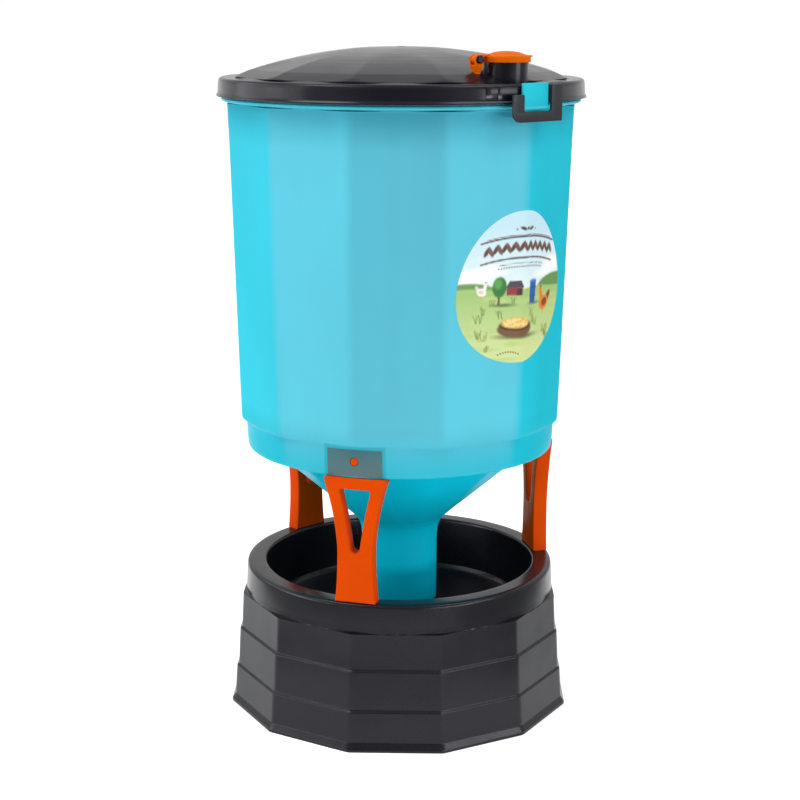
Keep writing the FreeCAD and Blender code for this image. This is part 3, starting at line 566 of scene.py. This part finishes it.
def build_label():
    """The egg-shaped sticker, bent round the tub's corner, with the picture as a colour layer."""
    rows, columns = 190, 170
    grid = []
    for r in range(rows + 1):
        height = LABEL_HALF_HEIGHT * math.cos(math.pi * (0.006 + 0.988 * r / rows))
        half = label_half_width(height)
        grid.append([(half * (2 * c / columns - 1), height) for c in range(columns + 1)])
    vertices, pictures, faces = [], [], []
    for lift in (LABEL_LIFT, 0.04):
        for row in grid:
            for x, height in row:
                vertices.append(tub_surface(x + LABEL_SHIFT, LABEL_HEIGHT + height, lift))
                pictures.append((x, height))
    width, layer = columns + 1, (rows + 1) * (columns + 1)
    for r in range(rows):
        for c in range(columns):
            a = r * width + c
            faces.append((a, a + 1, a + width + 1, a + width))
            faces.append((layer + a, layer + a + width, layer + a + width + 1, layer + a + 1))
    edge = [r * width for r in range(rows + 1)]
    edge += [rows * width + c for c in range(1, columns + 1)]
    edge += [r * width + columns for r in range(rows - 1, -1, -1)]
    edge += [c for c in range(columns - 1, 0, -1)]
    for a, b in zip(edge, [*edge[1:], edge[0]]):
        faces.append((a, b, layer + b, layer + a))
    mesh = bpy.data.meshes.new("label_sticker")
    mesh.from_pydata([v * MM for v in vertices], [], faces)
    colours = mesh.color_attributes.new("picture", "FLOAT_COLOR", "POINT")
    colours.data.foreach_set("color", painted(np.array(pictures)).ravel())
    work = bmesh.new()
    work.from_mesh(mesh)
    bmesh.ops.recalc_face_normals(work, faces=work.faces)
    work.to_mesh(mesh)
    work.free()
    mesh.polygons.foreach_set("use_smooth", [True] * len(mesh.polygons))
    mesh.set_sharp_from_angle(angle=math.radians(40))
    return turn(new_object("label_sticker", mesh), LABEL_AZIMUTH)


def linear(r, g, b):
    """A display colour of 0 to 255 as linear light."""
    values = np.array([r, g, b]) / 255.0
    return np.where(values <= 0.04045, values / 12.92, ((values + 0.055) / 1.055) ** 2.4)


class Picture:
    """A painting on points of (x, y) in millimetres, back to front."""

    def __init__(self, points):
        self.x, self.y = points[:, 0], points[:, 1]
        self.colour = np.ones((len(points), 3))

    def lay(self, cover, colour):
        cover = np.clip(cover, 0, 1)[:, None]
        self.colour = self.colour * (1 - cover) + linear(*colour) * cover

    def oval(self, centre, radii, colour, tilt=0.0, soft=0.5):
        c, s = math.cos(math.radians(tilt)), math.sin(math.radians(tilt))
        dx, dy = self.x - centre[0], self.y - centre[1]
        u, v = (c * dx + s * dy) / radii[0], (-s * dx + c * dy) / radii[1]
        distance = (np.hypot(u, v) - 1) * min(radii)
        self.lay(0.5 - distance / (2 * soft), colour)

    def shape(self, corners, colour, soft=0.45):
        """A convex polygon, its corners anticlockwise."""
        inside = np.full(len(self.x), 1e9)
        for (ax, ay), (bx, by) in zip(corners, [*corners[1:], corners[0]]):
            length = math.hypot(bx - ax, by - ay)
            side = ((bx - ax) * (self.y - ay) - (by - ay) * (self.x - ax)) / length
            inside = np.minimum(inside, side)
        self.lay(0.5 + inside / (2 * soft), colour)

    def stroke(self, points, width, colour, soft=0.4):
        near = np.full(len(self.x), 1e9)
        for (ax, ay), (bx, by) in zip(points, points[1:]):
            dx, dy = bx - ax, by - ay
            t = np.clip(((self.x - ax) * dx + (self.y - ay) * dy) / (dx * dx + dy * dy), 0, 1)
            near = np.minimum(near, np.hypot(self.x - ax - t * dx, self.y - ay - t * dy))
        self.lay(0.5 - (near - width / 2) / (2 * soft), colour)


def banner_line(height, half, sag, count=14):
    """Points along a shallow arch across the label."""
    xs = [half * (2 * k / count - 1) for k in range(count + 1)]
    return [(x, height + sag * (1 - (x / half) ** 2)) for x in xs]


def paint_hen(picture, at, size, body, wing, facing):
    """A plain hen: legs, then tail, body, neck, head, comb, beak and wing."""
    leg, comb, beak = (190, 140, 50), (196, 40, 30), (230, 170, 60)
    x, y, f = *at, facing * size
    for reach in (-0.6, 0.9):
        foot = x + reach * f
        picture.stroke([(foot, y - 3.0 * size), (foot, y - 6.6 * size)], 0.7, leg)
    parts = [
        (-5.0, 3.4, 4.2, 2.0, wing, -50),
        (0.0, 0.0, 5.6, 4.2, body, -14),
        (3.6, 4.2, 2.0, 4.2, body, -16),
        (4.8, 7.8, 1.9, 1.8, body, 0),
        (4.6, 9.7, 1.3, 0.8, comb, 0),
        (6.9, 7.5, 0.9, 0.5, beak, 0),
        (-0.8, 0.2, 3.4, 2.3, wing, -18),
    ]
    for along, up, half_length, half_height, colour, tilt in parts:
        centre = (x + along * f, y + up * size)
        picture.oval(centre, (half_length * size, half_height * size), colour, tilt * facing)


def paint_tuft(picture, at, size, dice):
    """A tuft of grass blades."""
    for _ in range(6):
        lean = dice.uniform(-0.6, 0.6)
        height = size * dice.uniform(0.6, 1.0)
        foot = at[0] + dice.uniform(-0.4, 0.4) * size
        shade = dice.uniform(0.75, 1.0)
        colour = (118 * shade, 140 * shade, 48 * shade)
        picture.stroke([(foot, at[1]), (foot + 0.5 * lean * height, at[1] + 0.6 * height),
                        (foot + lean * height, at[1] + height)], 0.55, colour)


def paint_ground(picture, dice):
    """Sky, clouds, hills and a meadow."""
    x, y = picture.x, picture.y
    picture.lay(np.ones(len(x)), (222, 238, 240))
    picture.lay((y - 2) / 60.0, (192, 225, 238))
    clouds = [(-62, 12, 22, 6), (-40, 17, 15, 5), (56, 20, 18, 7), (-66, 6, 14, 4), (40, 12, 16, 4)]
    for cx, cy, rx, ry in clouds:
        picture.oval((cx, cy), (rx, ry), (248, 250, 250), soft=3.0)
    for cx, cy, rx, ry, shade in ((-66, -8, 38, 13, 0.92), (-34, -10, 26, 11, 1.0), (66, -4, 40, 14, 0.9)):
        picture.oval((cx, cy), (rx, ry), (112 * shade, 160 * shade, 84 * shade), soft=0.8)
    meadow = np.clip((-1.0 - y + 1.2 * np.sin(x / 14.0)) / 1.6, 0, 1)
    picture.lay(meadow, (158, 194, 116))
    picture.lay(meadow * np.clip((-6 - y) / 60.0, 0, 1), (206, 219, 150))
    for _ in range(26):
        spot = (dice.uniform(-66, 66), dice.uniform(-72, -6))
        picture.oval(spot, (dice.uniform(5, 12), dice.uniform(1.2, 2.6)), (182, 206, 128), soft=1.8)


def block_shape(left, right, low, high, top_inset=0.0):
    """Corners of an upright block that narrows by an inset on each side at its top."""
    return [(left, low), (right, low), (right - top_inset, high), (left + top_inset, high)]


def paint_farmyard(picture, dice):
    """A round tree, a barn, a water barrel, tufts of grass, two hens and a trough of grain."""
    shadow = (96, 122, 70)
    picture.oval((-24, -17.5), (13, 1.6), shadow, soft=0.9)
    picture.shape(block_shape(-31, -28, -17, -7, 0.4), (104, 72, 44))
    picture.oval((-29.5, 0.5), (8.2, 10.2), (44, 116, 50), soft=0.8)
    picture.oval((-31.5, 4), (4.4, 5.2), (84, 160, 70), soft=1.6)
    picture.shape(block_shape(-21, -2, -8, 0), (146, 44, 46))
    picture.shape([(-22.5, -0.5), (-0.5, -0.5), (-4.5, 6.5), (-18, 6.5)], (70, 66, 74))
    picture.shape(block_shape(-9, -3, -8, -1.5), (60, 40, 44))
    picture.oval((20, -17.5), (10, 1.4), shadow, soft=0.9)
    picture.shape(block_shape(11, 22, -17, 5, -1), (40, 88, 168))
    picture.oval((16.5, 5), (6.5, 1.7), (74, 122, 196))
    for ring in (-1.5, -10):
        picture.stroke([(10.2, ring), (22.8, ring)], 1.0, (28, 60, 120))
    for _ in range(20):
        spot = (dice.uniform(-66, 60), dice.uniform(-66, -16))
        paint_tuft(picture, spot, dice.uniform(5.5, 10.0), dice)
    paint_hen(picture, (-50, -4), 0.95, (244, 242, 234), (214, 210, 200), 1)
    paint_hen(picture, (42, -19), 1.7, (222, 126, 36), (140, 62, 28), -1)
    picture.oval((-2, -49), (27, 2.8), (108, 122, 66), soft=1.2)
    picture.oval((-6, -41.5), (23.0, 8.5), (116, 82, 52))
    picture.oval((-6, -37.6), (21.0, 6.0), (82, 56, 36))
    picture.oval((-6, -35.6), (18.6, 5.6), (226, 178, 92))
    for _ in range(44):
        grain = (-6 + dice.uniform(-15, 15), -35.4 + dice.uniform(-3.4, 3.8))
        picture.oval(grain, (1.5, 0.9), (246, 214, 140), tilt=dice.uniform(-60, 60))


def paint_ornament(picture):
    """Two pairs of arched rules with a row of leaves between them, a small crest and dotted rows."""
    brown, pale = (84, 56, 46), (116, 78, 62)
    half, sag = 54, 7.0
    for height, reach, width in ((43.0, half, 1.7), (46.2, 48, 0.6), (22.6, 53, 1.7), (21.0, 34, 0.6)):
        picture.stroke(banner_line(height, reach, sag * (reach / half) ** 2), width, brown)
    for k in range(10):
        along = -47 + 10.2 * k
        level = 33.4 + sag * (1 - (along / half) ** 2)
        picture.oval((along, level), (5.6, 2.3), brown, tilt=58)
        picture.oval((along + 4.4, level), (5.6, 2.3), pale, tilt=-58)
    picture.oval((0, 58), (1.6, 1.6), brown)
    for side in (-1, 1):
        picture.oval((side * 6, 57.8), (4.2, 1.6), brown, tilt=16 * side)
        picture.oval((side * 14, 57.0), (0.9, 0.9), brown)
    for middle, height, reach in ((0, 18.2, 32), (-14, -67.0, 12)):
        for k in range(-reach, reach + 1, 3):
            picture.oval((middle + k, height + 2.4 * (1 - (k / reach) ** 2)), (0.9, 0.8), brown)


def painted(points):
    """The label's colours: a meadow with plain farmyard things and an ornament, no lettering."""
    dice = np.random.default_rng(7)
    tilt = math.radians(LABEL_TILT)
    across, up = points[:, 0] + LABEL_SHIFT, points[:, 1]
    along = across * math.cos(tilt) - up * math.sin(tilt)
    risen = across * math.sin(tilt) + up * math.cos(tilt)
    picture = Picture(np.column_stack([along, risen]))
    paint_ground(picture, dice)
    paint_farmyard(picture, dice)
    paint_ornament(picture)
    return np.hstack([picture.colour, np.ones((len(points), 1))])


# ---- materials ----
class Wires:
    """Small steps for building a node tree round a place, in metres."""

    def __init__(self, tree, space="Object"):
        self.tree = tree
        self.place = tree.nodes.new("ShaderNodeTexCoord").outputs[space]

    def link(self, source, target):
        self.tree.links.new(source, target)

    def feed(self, value, socket):
        """Links a socket's value, or sets a number or a colour."""
        if isinstance(value, bpy.types.NodeSocket):
            self.link(value, socket)
        elif isinstance(value, tuple):
            socket.default_value = (*value, 1)
        else:
            socket.default_value = value

    def axes(self):
        """The place's x, y and z."""
        split = self.tree.nodes.new("ShaderNodeSeparateXYZ")
        self.link(self.place, split.inputs[0])
        return split.outputs

    def ramp(self, value, stops):
        """A colour from a value, by stops of (position, (r, g, b) linear)."""
        node = self.tree.nodes.new("ShaderNodeValToRGB")
        ramp = node.color_ramp
        while len(ramp.elements) < len(stops):
            ramp.elements.new(0.5)
        for element, (position, colour) in zip(ramp.elements, stops):
            element.position = position
            element.color = (*colour, 1)
        self.link(value, node.inputs["Fac"])
        return node.outputs["Color"]

    def span(self, value, low, high, to_low=0.0, to_high=1.0):
        """A value's range mapped to another, held at its ends."""
        node = self.tree.nodes.new("ShaderNodeMapRange")
        for name, number in (("From Min", low), ("From Max", high), ("To Min", to_low), ("To Max", to_high)):
            node.inputs[name].default_value = number
        self.link(value, node.inputs["Value"])
        return node.outputs["Result"]

    def blend(self, factor, first, second, kind="MIX"):
        """Two colours mixed, multiplied or added."""
        node = self.tree.nodes.new("ShaderNodeMix")
        node.data_type = "RGBA"
        node.blend_type = kind
        sockets = {socket.identifier: socket for socket in node.inputs}
        self.feed(factor, sockets["Factor_Float"])
        self.feed(first, sockets["A_Color"])
        self.feed(second, sockets["B_Color"])
        return next(o for o in node.outputs if o.identifier == "Result_Color")

    def math(self, kind, first, second=0.0):
        node = self.tree.nodes.new("ShaderNodeMath")
        node.operation = kind
        self.feed(first, node.inputs[0])
        self.feed(second, node.inputs[1])
        return node.outputs[0]

    def product(self, first, *others):
        for other in others:
            first = self.math("MULTIPLY", first, other)
        return first


class Finish(Wires):
    """A material built up in steps round one principled shader."""

    def __init__(self, name, slot):
        self.slot = slot
        self.material = bpy.data.materials.new(name)
        self.material.use_nodes = True
        super().__init__(self.material.node_tree)
        self.shader = next(n for n in self.tree.nodes if n.type == "BSDF_PRINCIPLED")

    def fixed(self, **values):
        """Sets sockets that are the same all over."""
        for name, value in values.items():
            self.shader.inputs[name.replace("_", " ")].default_value = value
        return self

    def noise(self, scale, detail=3.0, stretch=(1, 1, 1)):
        """Noise of about scale features in a metre."""
        mapping = self.tree.nodes.new("ShaderNodeMapping")
        mapping.inputs["Scale"].default_value = stretch
        self.link(self.place, mapping.inputs["Vector"])
        node = self.tree.nodes.new("ShaderNodeTexNoise")
        node.inputs["Scale"].default_value = scale
        node.inputs["Detail"].default_value = detail
        node.inputs["Roughness"].default_value = 0.55
        self.link(mapping.outputs["Vector"], node.inputs["Vector"])
        return node.outputs["Fac"]

    def height(self):
        """The height above the floor."""
        return self.axes()["Z"]

    def toned(self, value, shade, funnel_lit_through, pale):
        """A shade that a noise value makes deeper or paler."""
        stops = [(0.3, tuple(funnel_lit_through * c for c in shade)), (0.7, tuple(pale * c for c in shade))]
        return self.ramp(value, stops)

    def speckled(self, tone, scale, spread):
        """A tone with a fine speckle of its own brightness."""
        speck = self.span(self.noise(scale, 2.0), 0.35, 0.65, 1 - spread, 1 + spread)
        return self.blend(1.0, tone, speck, "MULTIPLY")

    def painted_front_sheen(self):
        """Painted sheen: a little red that pales the tub's front and back in place of the front light's
        reflection, less under the rim and none on the lugs, and leaves its right side and its funnel deep.
        """
        x, y, z = self.axes()
        past_corner = self.math("SUBTRACT", self.math("ABSOLUTE", x), self.math("ABSOLUTE", y))
        middle = self.span(past_corner, -0.010, 0.008, 1.0, 0.0)
        middle = self.math("MAXIMUM", middle, self.span(x, -0.02, 0.02, 0.20, 0.0))
        above_funnel = self.product(self.span(z, 0.282, 0.284), self.span(z, 0.29, 0.33, 0.35, 1.0))
        below_rim = self.span(z, 0.605, 0.636, 1.0, 0.55)
        reach = self.math("SQRT", self.math("ADD", self.product(x, x), self.product(y, y)))
        off_lug = self.span(reach, 0.1865, 0.188, 1.0, 0.1)
        cover = self.product(middle, above_funnel, below_rim, off_lug)
        return self.ramp(cover, [(0.0, (0.0, 0.0, 0.0)), (1.0, (0.090, 0.0, 0.0))])

    def painted_facet_shade(self):
        """Painted shade: a slightly deeper tone on the facets that face the front and the back, and on the
        right.
        """
        x, _, z = self.axes()
        front = self.span(self.math("ABSOLUTE", x), 0.040, 0.052, 0.87, 1.0)
        right = self.span(x, 0.115, 0.145, 1.0, 0.88)
        tone = self.math("SUBTRACT", self.product(front, right), 1.0)
        return self.math("ADD", self.product(tone, self.span(z, 0.318, 0.330)), 1.0)

    def window(self, azimuth, half, low, high):
        """1 on the outside within half of an azimuth's line and between two heights (millimetres), else 0."""
        a = math.radians(azimuth)
        x, y, z = self.axes()
        along = self.math("ADD", self.product(x, math.cos(a)), self.product(y, math.sin(a)))
        out = self.math("ADD", self.product(x, math.sin(a)), self.product(y, -math.cos(a)))
        soft = 0.5
        near = self.span(self.math("ABSOLUTE", along), (half - soft) * MM, (half + soft) * MM, 1.0, 0.0)
        above = self.span(z, (low - soft) * MM, (low + soft) * MM)
        below = self.span(z, (high - soft) * MM, (high + soft) * MM, 1.0, 0.0)
        return self.product(near, self.span(out, 0.150, 0.1515), above, below)

    def colour(self, source):
        self.link(source, self.shader.inputs["Base Color"])
        return self

    def roughness(self, low, high, scale, detail=4.0):
        self.link(self.span(self.noise(scale, detail), 0.3, 0.7, low, high), self.shader.inputs["Roughness"])
        return self

    def bump(self, *layers):
        """Relief from (value, depth in metres) layers, one on another."""
        normal = None
        for value, depth in layers:
            node = self.tree.nodes.new("ShaderNodeBump")
            node.inputs["Strength"].default_value = 1.0
            node.inputs["Distance"].default_value = depth
            self.link(value, node.inputs["Height"])
            if normal:
                self.link(normal, node.inputs["Normal"])
            normal = node.outputs["Normal"]
        self.link(normal, self.shader.inputs["Normal"])
        return self

    def on(self, *objects):
        for obj in objects:
            obj.data.materials.clear()
            obj.data.materials.append(self.material)


def dark_plastic(name, slot, shade, low, high, grain, specular=0.5):
    """Near-black moulded plastic, faintly warm, with a fine grain and slow unevenness."""
    finish = Finish(name, slot)
    tone = finish.toned(finish.noise(9.0, 4.0), shade, 0.9, 1.12)
    finish.colour(finish.speckled(tone, 900.0, 0.07))
    finish.roughness(low, high, 24.0)
    finish.fixed(Specular_IOR_Level=specular, Specular_Tint=(0.95, 0.92, 1.0, 1.0), IOR=1.49)
    return finish.bump((finish.noise(11.0, 2.0), 0.0012), (finish.noise(2600.0, 2.0), grain))


def tub_plastic():
    """Turquoise milky plastic, painted brighter and deeper in colour down the funnel and the neck for the
    light that comes through it, with painted shade, sheen and highlight.
    """
    finish = Finish("tub_turquoise", "tub")
    # painted light by height: the funnel and the neck are brighter and more saturated for light that comes
    # through the plastic; the stops under the rim are painted shade from the lid's lip
    funnel_lit_through = [(0.0, (0.001, 0.56, 0.78)), (0.20, (0.001, 0.54, 0.74)), (0.32, (0.001, 0.50, 0.68))]
    skirt = [(0.33, (0.004, 0.44, 0.56)), (0.38, (0.008, 0.46, 0.59))]
    wall = [(0.42, (0.010, 0.54, 0.68)), (0.9, (0.014, 0.54, 0.69))]
    under_rim_shade = [(0.945, (0.012, 0.44, 0.57)), (0.965, (0.012, 0.42, 0.55)), (0.975, (0.014, 0.54, 0.68))]
    tint = finish.ramp(finish.span(finish.height(), 0.1, 0.66), [*funnel_lit_through, *skirt, *wall, *under_rim_shade])
    cloud = finish.span(finish.noise(7.0, 3.0, stretch=(1, 1, 0.5)), 0.3, 0.7, 0.95, 1.05)
    flow = finish.span(finish.noise(26.0, 2.0, stretch=(1, 1, 0.06)), 0.35, 0.65, 0.985, 1.015)
    tinted = finish.blend(1.0, finish.blend(1.0, tint, cloud, "MULTIPLY"), flow, "MULTIPLY")
    # painted shade on the facets that face the front and the back, and on the right
    tinted = finish.blend(1.0, tinted, finish.painted_facet_shade(), "MULTIPLY")
    # painted sheen on the front and back facets, less under the rim
    tinted = finish.blend(1.0, tinted, finish.painted_front_sheen(), "ADD")
    # painted shade: a darker frame where the pocket's walls show through the skin; the grey panel is the
    # tongue showing through it
    pocket_shade = finish.blend(1.0, tinted, (0.50, 0.84, 0.84), "MULTIPLY")
    grey = finish.ramp(finish.height(), [(0.283, (0.105, 0.16, 0.172)), (0.306, (0.07, 0.17, 0.19))])
    shown = finish.blend(1.0, grey, cloud, "MULTIPLY")
    foot = 283.6
    for azimuth in LEG_AZIMUTHS.values():
        tinted = finish.blend(finish.window(azimuth, TONGUE_HALF + 5.2, foot, 316.0), tinted, pocket_shade)
        tinted = finish.blend(finish.window(azimuth, TONGUE_HALF + 2.0, foot, 311.6), tinted, shown)
    height = finish.height()
    # painted highlight: a paler band on the bead just under the lid, for the light it catches
    bead_highlight = finish.product(finish.span(height, 0.6430, 0.6436), finish.span(height, 0.6452, 0.6460, 0.8, 0.0))
    finish.colour(finish.blend(bead_highlight, tinted, (0.08, 0.60, 0.72)))
    finish.roughness(0.36, 0.48, 18.0)
    finish.fixed(Specular_IOR_Level=0.08, IOR=1.5)
    return finish.bump((finish.noise(7.0, 2.0), 0.0010), (finish.noise(2200.0, 2.0), 0.000012))


def orange_plastic(name, shade):
    """Bright orange moulded plastic with a soft sheen."""
    finish = Finish(name, "orange")
    tone = finish.toned(finish.noise(14.0, 3.0), shade, 0.93, 1.07)
    finish.colour(finish.speckled(tone, 1100.0, 0.04))
    finish.roughness(0.32, 0.44, 60.0)
    finish.fixed(Specular_IOR_Level=0.03, IOR=1.45)
    return finish.bump((finish.noise(30.0, 2.0), 0.0004), (finish.noise(2600.0, 2.0), 0.00001))


def label_print():
    """Printed film: the picture, a slight print grain and a satin coat."""
    finish = Finish("label_print", "label")
    attribute = finish.tree.nodes.new("ShaderNodeVertexColor")
    attribute.layer_name = "picture"
    grain = finish.span(finish.noise(1500.0, 2.0), 0.3, 0.7, 0.95, 1.05)
    finish.colour(finish.blend(1.0, attribute.outputs["Color"], grain, "MULTIPLY"))
    finish.roughness(0.30, 0.38, 40.0)
    finish.fixed(Specular_IOR_Level=0.4, IOR=1.5)
    return finish.bump((finish.noise(16.0, 2.0), 0.0006))


def bright_steel(name, slot, shade):
    """Machined steel with fine turning marks."""
    finish = Finish(name, slot)
    finish.colour(finish.toned(finish.noise(120.0, 4.0, stretch=(1, 1, 6)), shade, 0.8, 1.0))
    finish.roughness(0.25, 0.42, 300.0)
    finish.fixed(Metallic=1.0)
    return finish.bump((finish.noise(1800.0, 2.0, stretch=(1, 1, 8)), 0.00002))


def seal_rubber():
    """Matt dark rubber."""
    finish = Finish("seal_rubber", "seal")
    tone = finish.ramp(finish.noise(60.0, 4.0), [(0.3, (0.016, 0.016, 0.017)), (0.7, (0.026, 0.026, 0.028))])
    finish.colour(tone)
    finish.roughness(0.66, 0.82, 90.0)
    finish.fixed(Specular_IOR_Level=0.35)
    return finish.bump((finish.noise(1400.0, 3.0), 0.00003))


# ---- placing ----
def place(piece, body, *nodes):
    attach(piece, body)
    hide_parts(*nodes)
    return piece


def make_object():
    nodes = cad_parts
    tray = place(build_tray(), "base", "tray_base")
    tub = place(build_tub(), "base", "hopper_tub")
    legs = []
    for name, azimuth in LEG_AZIMUTHS.items():
        legs.append(place(build_leg(f"leg_{name}_moulding", azimuth), "base", f"leg_{name}"))
    lid = place(build_lid(), "lid", "lid")
    clips = []
    for name, azimuth in CLIP_AZIMUTHS.items():
        clips.append(place(build_clip(f"lid_clip_{name}_hook", azimuth), f"clip_{name}", f"lid_clip_{name}"))
    cap = place(build_cap(), "cap", "filler_cap")
    bracket = place(build_bracket(), "lid", "cap_bracket")
    label = place(build_label(), "base", "label")

    dark_plastic("tray_charcoal", "tray", (0.0065, 0.0068, 0.0085), 0.17, 0.27, 0.000012, 0.3).on(tray)
    dark_plastic("lid_charcoal", "lid", (0.0075, 0.0070, 0.0115), 0.16, 0.25, 0.000006, 0.3).on(lid)
    dark_plastic("clip_charcoal", "clip", (0.016, 0.018, 0.022), 0.26, 0.36, 0.00001, 0.5).on(*clips)
    tub_plastic().on(tub)
    buttons = [nodes[f"leg_button_{name}"] for name in LEG_AZIMUTHS]
    orange_plastic("orange_legs", (0.64, 0.060, 0.0005)).on(*legs, *buttons)
    # the cap's orange is the legs' orange painted lighter and yellower for the light on the cap's top; the
    # bracket shares it
    orange_plastic("orange_cap_painted_lit", (0.72, 0.125, 0.0004)).on(cap, bracket)
    label_print().on(label)
    bright_steel("screw_steel", "steel", (0.56, 0.57, 0.59)).on(nodes["leg_screws"], nodes["bracket_screw"])
    bright_steel("pin_steel", "pin", (0.025, 0.025, 0.028)).on(nodes["cap_hinge_pin"])
    seal_rubber().on(nodes["lid_gasket"], nodes["cap_seal"])
    sleeve = dark_plastic("sleeve_charcoal", "tray", (0.016, 0.016, 0.018), 0.30, 0.42, 0.00001)
    sleeve.on(nodes["flow_sleeve"])


# ---- floor, light and camera ----
FLOOR_GLOW = [(0.0, 0.0), (0.12, 0.42), (0.35, 0.55), (0.9, 0.80)]  # (share of the way back, glow)
SWEEP_SPREAD = 0.245  # the pale sweep widens by this much a side for each metre back
SWEEP_SHIFT = -0.05  # its middle line's x, metres
SWEEP_APEX = 1.78  # metres in front of the object where its sides would meet
SWEEP_EDGE = (0.18, 0.05)  # metres past its sides where it ends and where it starts to fade
SWEEP_GLOW = (-0.8, 3.2)  # the y, in metres, between which it glows up
WORLD_STOPS = [(0.0, 0.14), (0.03, 0.22), (0.115, 0.60), (0.5, 0.62), (0.62, 0.74), (1.0, 0.80)]
BACKDROP = 1.02


def greys(stops):
    """Ramp stops of grey from (position, level)."""
    return [(position, (level, level, level)) for position, level in stops]


def make_floor():
    """A wide floor with a pale sweep that glows towards the back and is grey outside."""
    mesh = bpy.data.meshes.new("floor")
    reach = 9.0
    corners = [(-reach, -reach, 0), (reach, -reach, 0), (reach, reach, 0), (-reach, reach, 0)]
    mesh.from_pydata(corners, [], [(0, 1, 2, 3)])
    floor = new_object("floor", mesh)
    material = bpy.data.materials.new("floor_white")
    material.use_nodes = True
    shader = material.node_tree.nodes["Principled BSDF"]
    shader.inputs["Roughness"].default_value = 0.9
    shader.inputs["Specular IOR Level"].default_value = 0.0
    shader.inputs["Emission Color"].default_value = (1, 1, 1, 1)
    wires = Wires(material.node_tree)
    x, y, _ = wires.axes()
    glow = wires.ramp(wires.span(y, *SWEEP_GLOW), greys(FLOOR_GLOW))
    aside = wires.math("ABSOLUTE", wires.math("SUBTRACT", x, SWEEP_SHIFT))
    past_side = wires.math("ADD", wires.product(y, -SWEEP_SPREAD), aside)
    side = SWEEP_SPREAD * SWEEP_APEX
    lit = wires.span(past_side, *(side + fade for fade in SWEEP_EDGE))
    wires.link(wires.product(glow, lit), shader.inputs["Emission Strength"])
    wires.link(wires.blend(lit, (0.35, 0.35, 0.35), (0.9, 0.9, 0.9)), shader.inputs["Base Color"])
    mesh.materials.append(material)


def make_world():
    """A white sweep behind and at the sides that darkens towards the front, and a backdrop low behind."""
    world = bpy.data.worlds.new("studio")
    bpy.context.scene.world = world
    world.use_nodes = True
    background = world.node_tree.nodes["Background"]
    background.inputs["Strength"].default_value = 1.0
    wires = Wires(world.node_tree, "Generated")
    _, y, z = wires.axes()
    sweep = wires.ramp(wires.span(y, -1.0, 1.0), greys(WORLD_STOPS))
    low_behind = wires.product(wires.span(z, 0.10, 0.02), wires.span(y, 0.2, 0.5))
    wires.link(wires.blend(low_behind, sweep, (BACKDROP, BACKDROP, BACKDROP)), background.inputs["Color"])


def softbox(name, azimuth, elevation, distance, size, power, aim=(0, 0, 0.4)):
    """A rectangular light round the object; azimuth 0 is the front, 90 the right."""
    light = bpy.data.lights.new(name, "AREA")
    light.shape = "RECTANGLE"
    light.size, light.size_y = size
    light.energy = power
    obj = bpy.data.objects.new(name, light)
    bpy.context.scene.collection.objects.link(obj)
    a, e = math.radians(azimuth), math.radians(elevation)
    away = Vector((math.sin(a) * math.cos(e), -math.cos(a) * math.cos(e), math.sin(e)))
    obj.location = Vector(aim) + away * distance
    obj.rotation_euler = away.to_track_quat("Z", "Y").to_euler()


LIGHTS = {  # azimuth, elevation, distance, (width, height), watts
    "key_left": (-60, 52, 2.6, (1.3, 1.0), 23),
    "key_right": (58, 52, 2.6, (1.3, 1.0), 16),
    "wide_left": (-88, 18, 2.4, (2.6, 1.3), 15),
    "strip_right": (61, 11, 2.4, (0.9, 0.5), 7.0),
    "strip_left": (-78, 4, 2.4, (0.75, 0.24), 6),
    "low_left": (-60, -4, 2.2, (1.2, 0.25), 5),
    "low_right": (40, -4, 2.2, (1.2, 0.25), 12),
}


def make_camera():
    """A camera 12.9 degrees above the level, a degree to the right of straight ahead."""
    distance, height, pitch, azimuth, roll = 1.7832, 0.7355, 12.937, 1.0, 0.243
    camera = bpy.data.cameras.new("camera")
    camera.sensor_width = 36.0
    camera.lens = 76.71
    camera.clip_start, camera.clip_end = 0.05, 60.0
    obj = bpy.data.objects.new("camera", camera)
    bpy.context.scene.collection.objects.link(obj)
    a = math.radians(azimuth)
    spin = Matrix.Rotation(a, 4, "Z") @ Matrix.Rotation(math.radians(90 - pitch), 4, "X")
    spin = spin @ Matrix.Rotation(math.radians(roll), 4, "Z")
    obj.matrix_world = Matrix.Translation((distance * math.sin(a), -distance * math.cos(a), height)) @ spin
    bpy.context.scene.camera = obj


make_object()
make_floor()
make_world()
for light_name, light_numbers in LIGHTS.items():
    softbox(light_name, *light_numbers)
make_camera()
bpy.context.scene.view_settings.view_transform = "Standard"
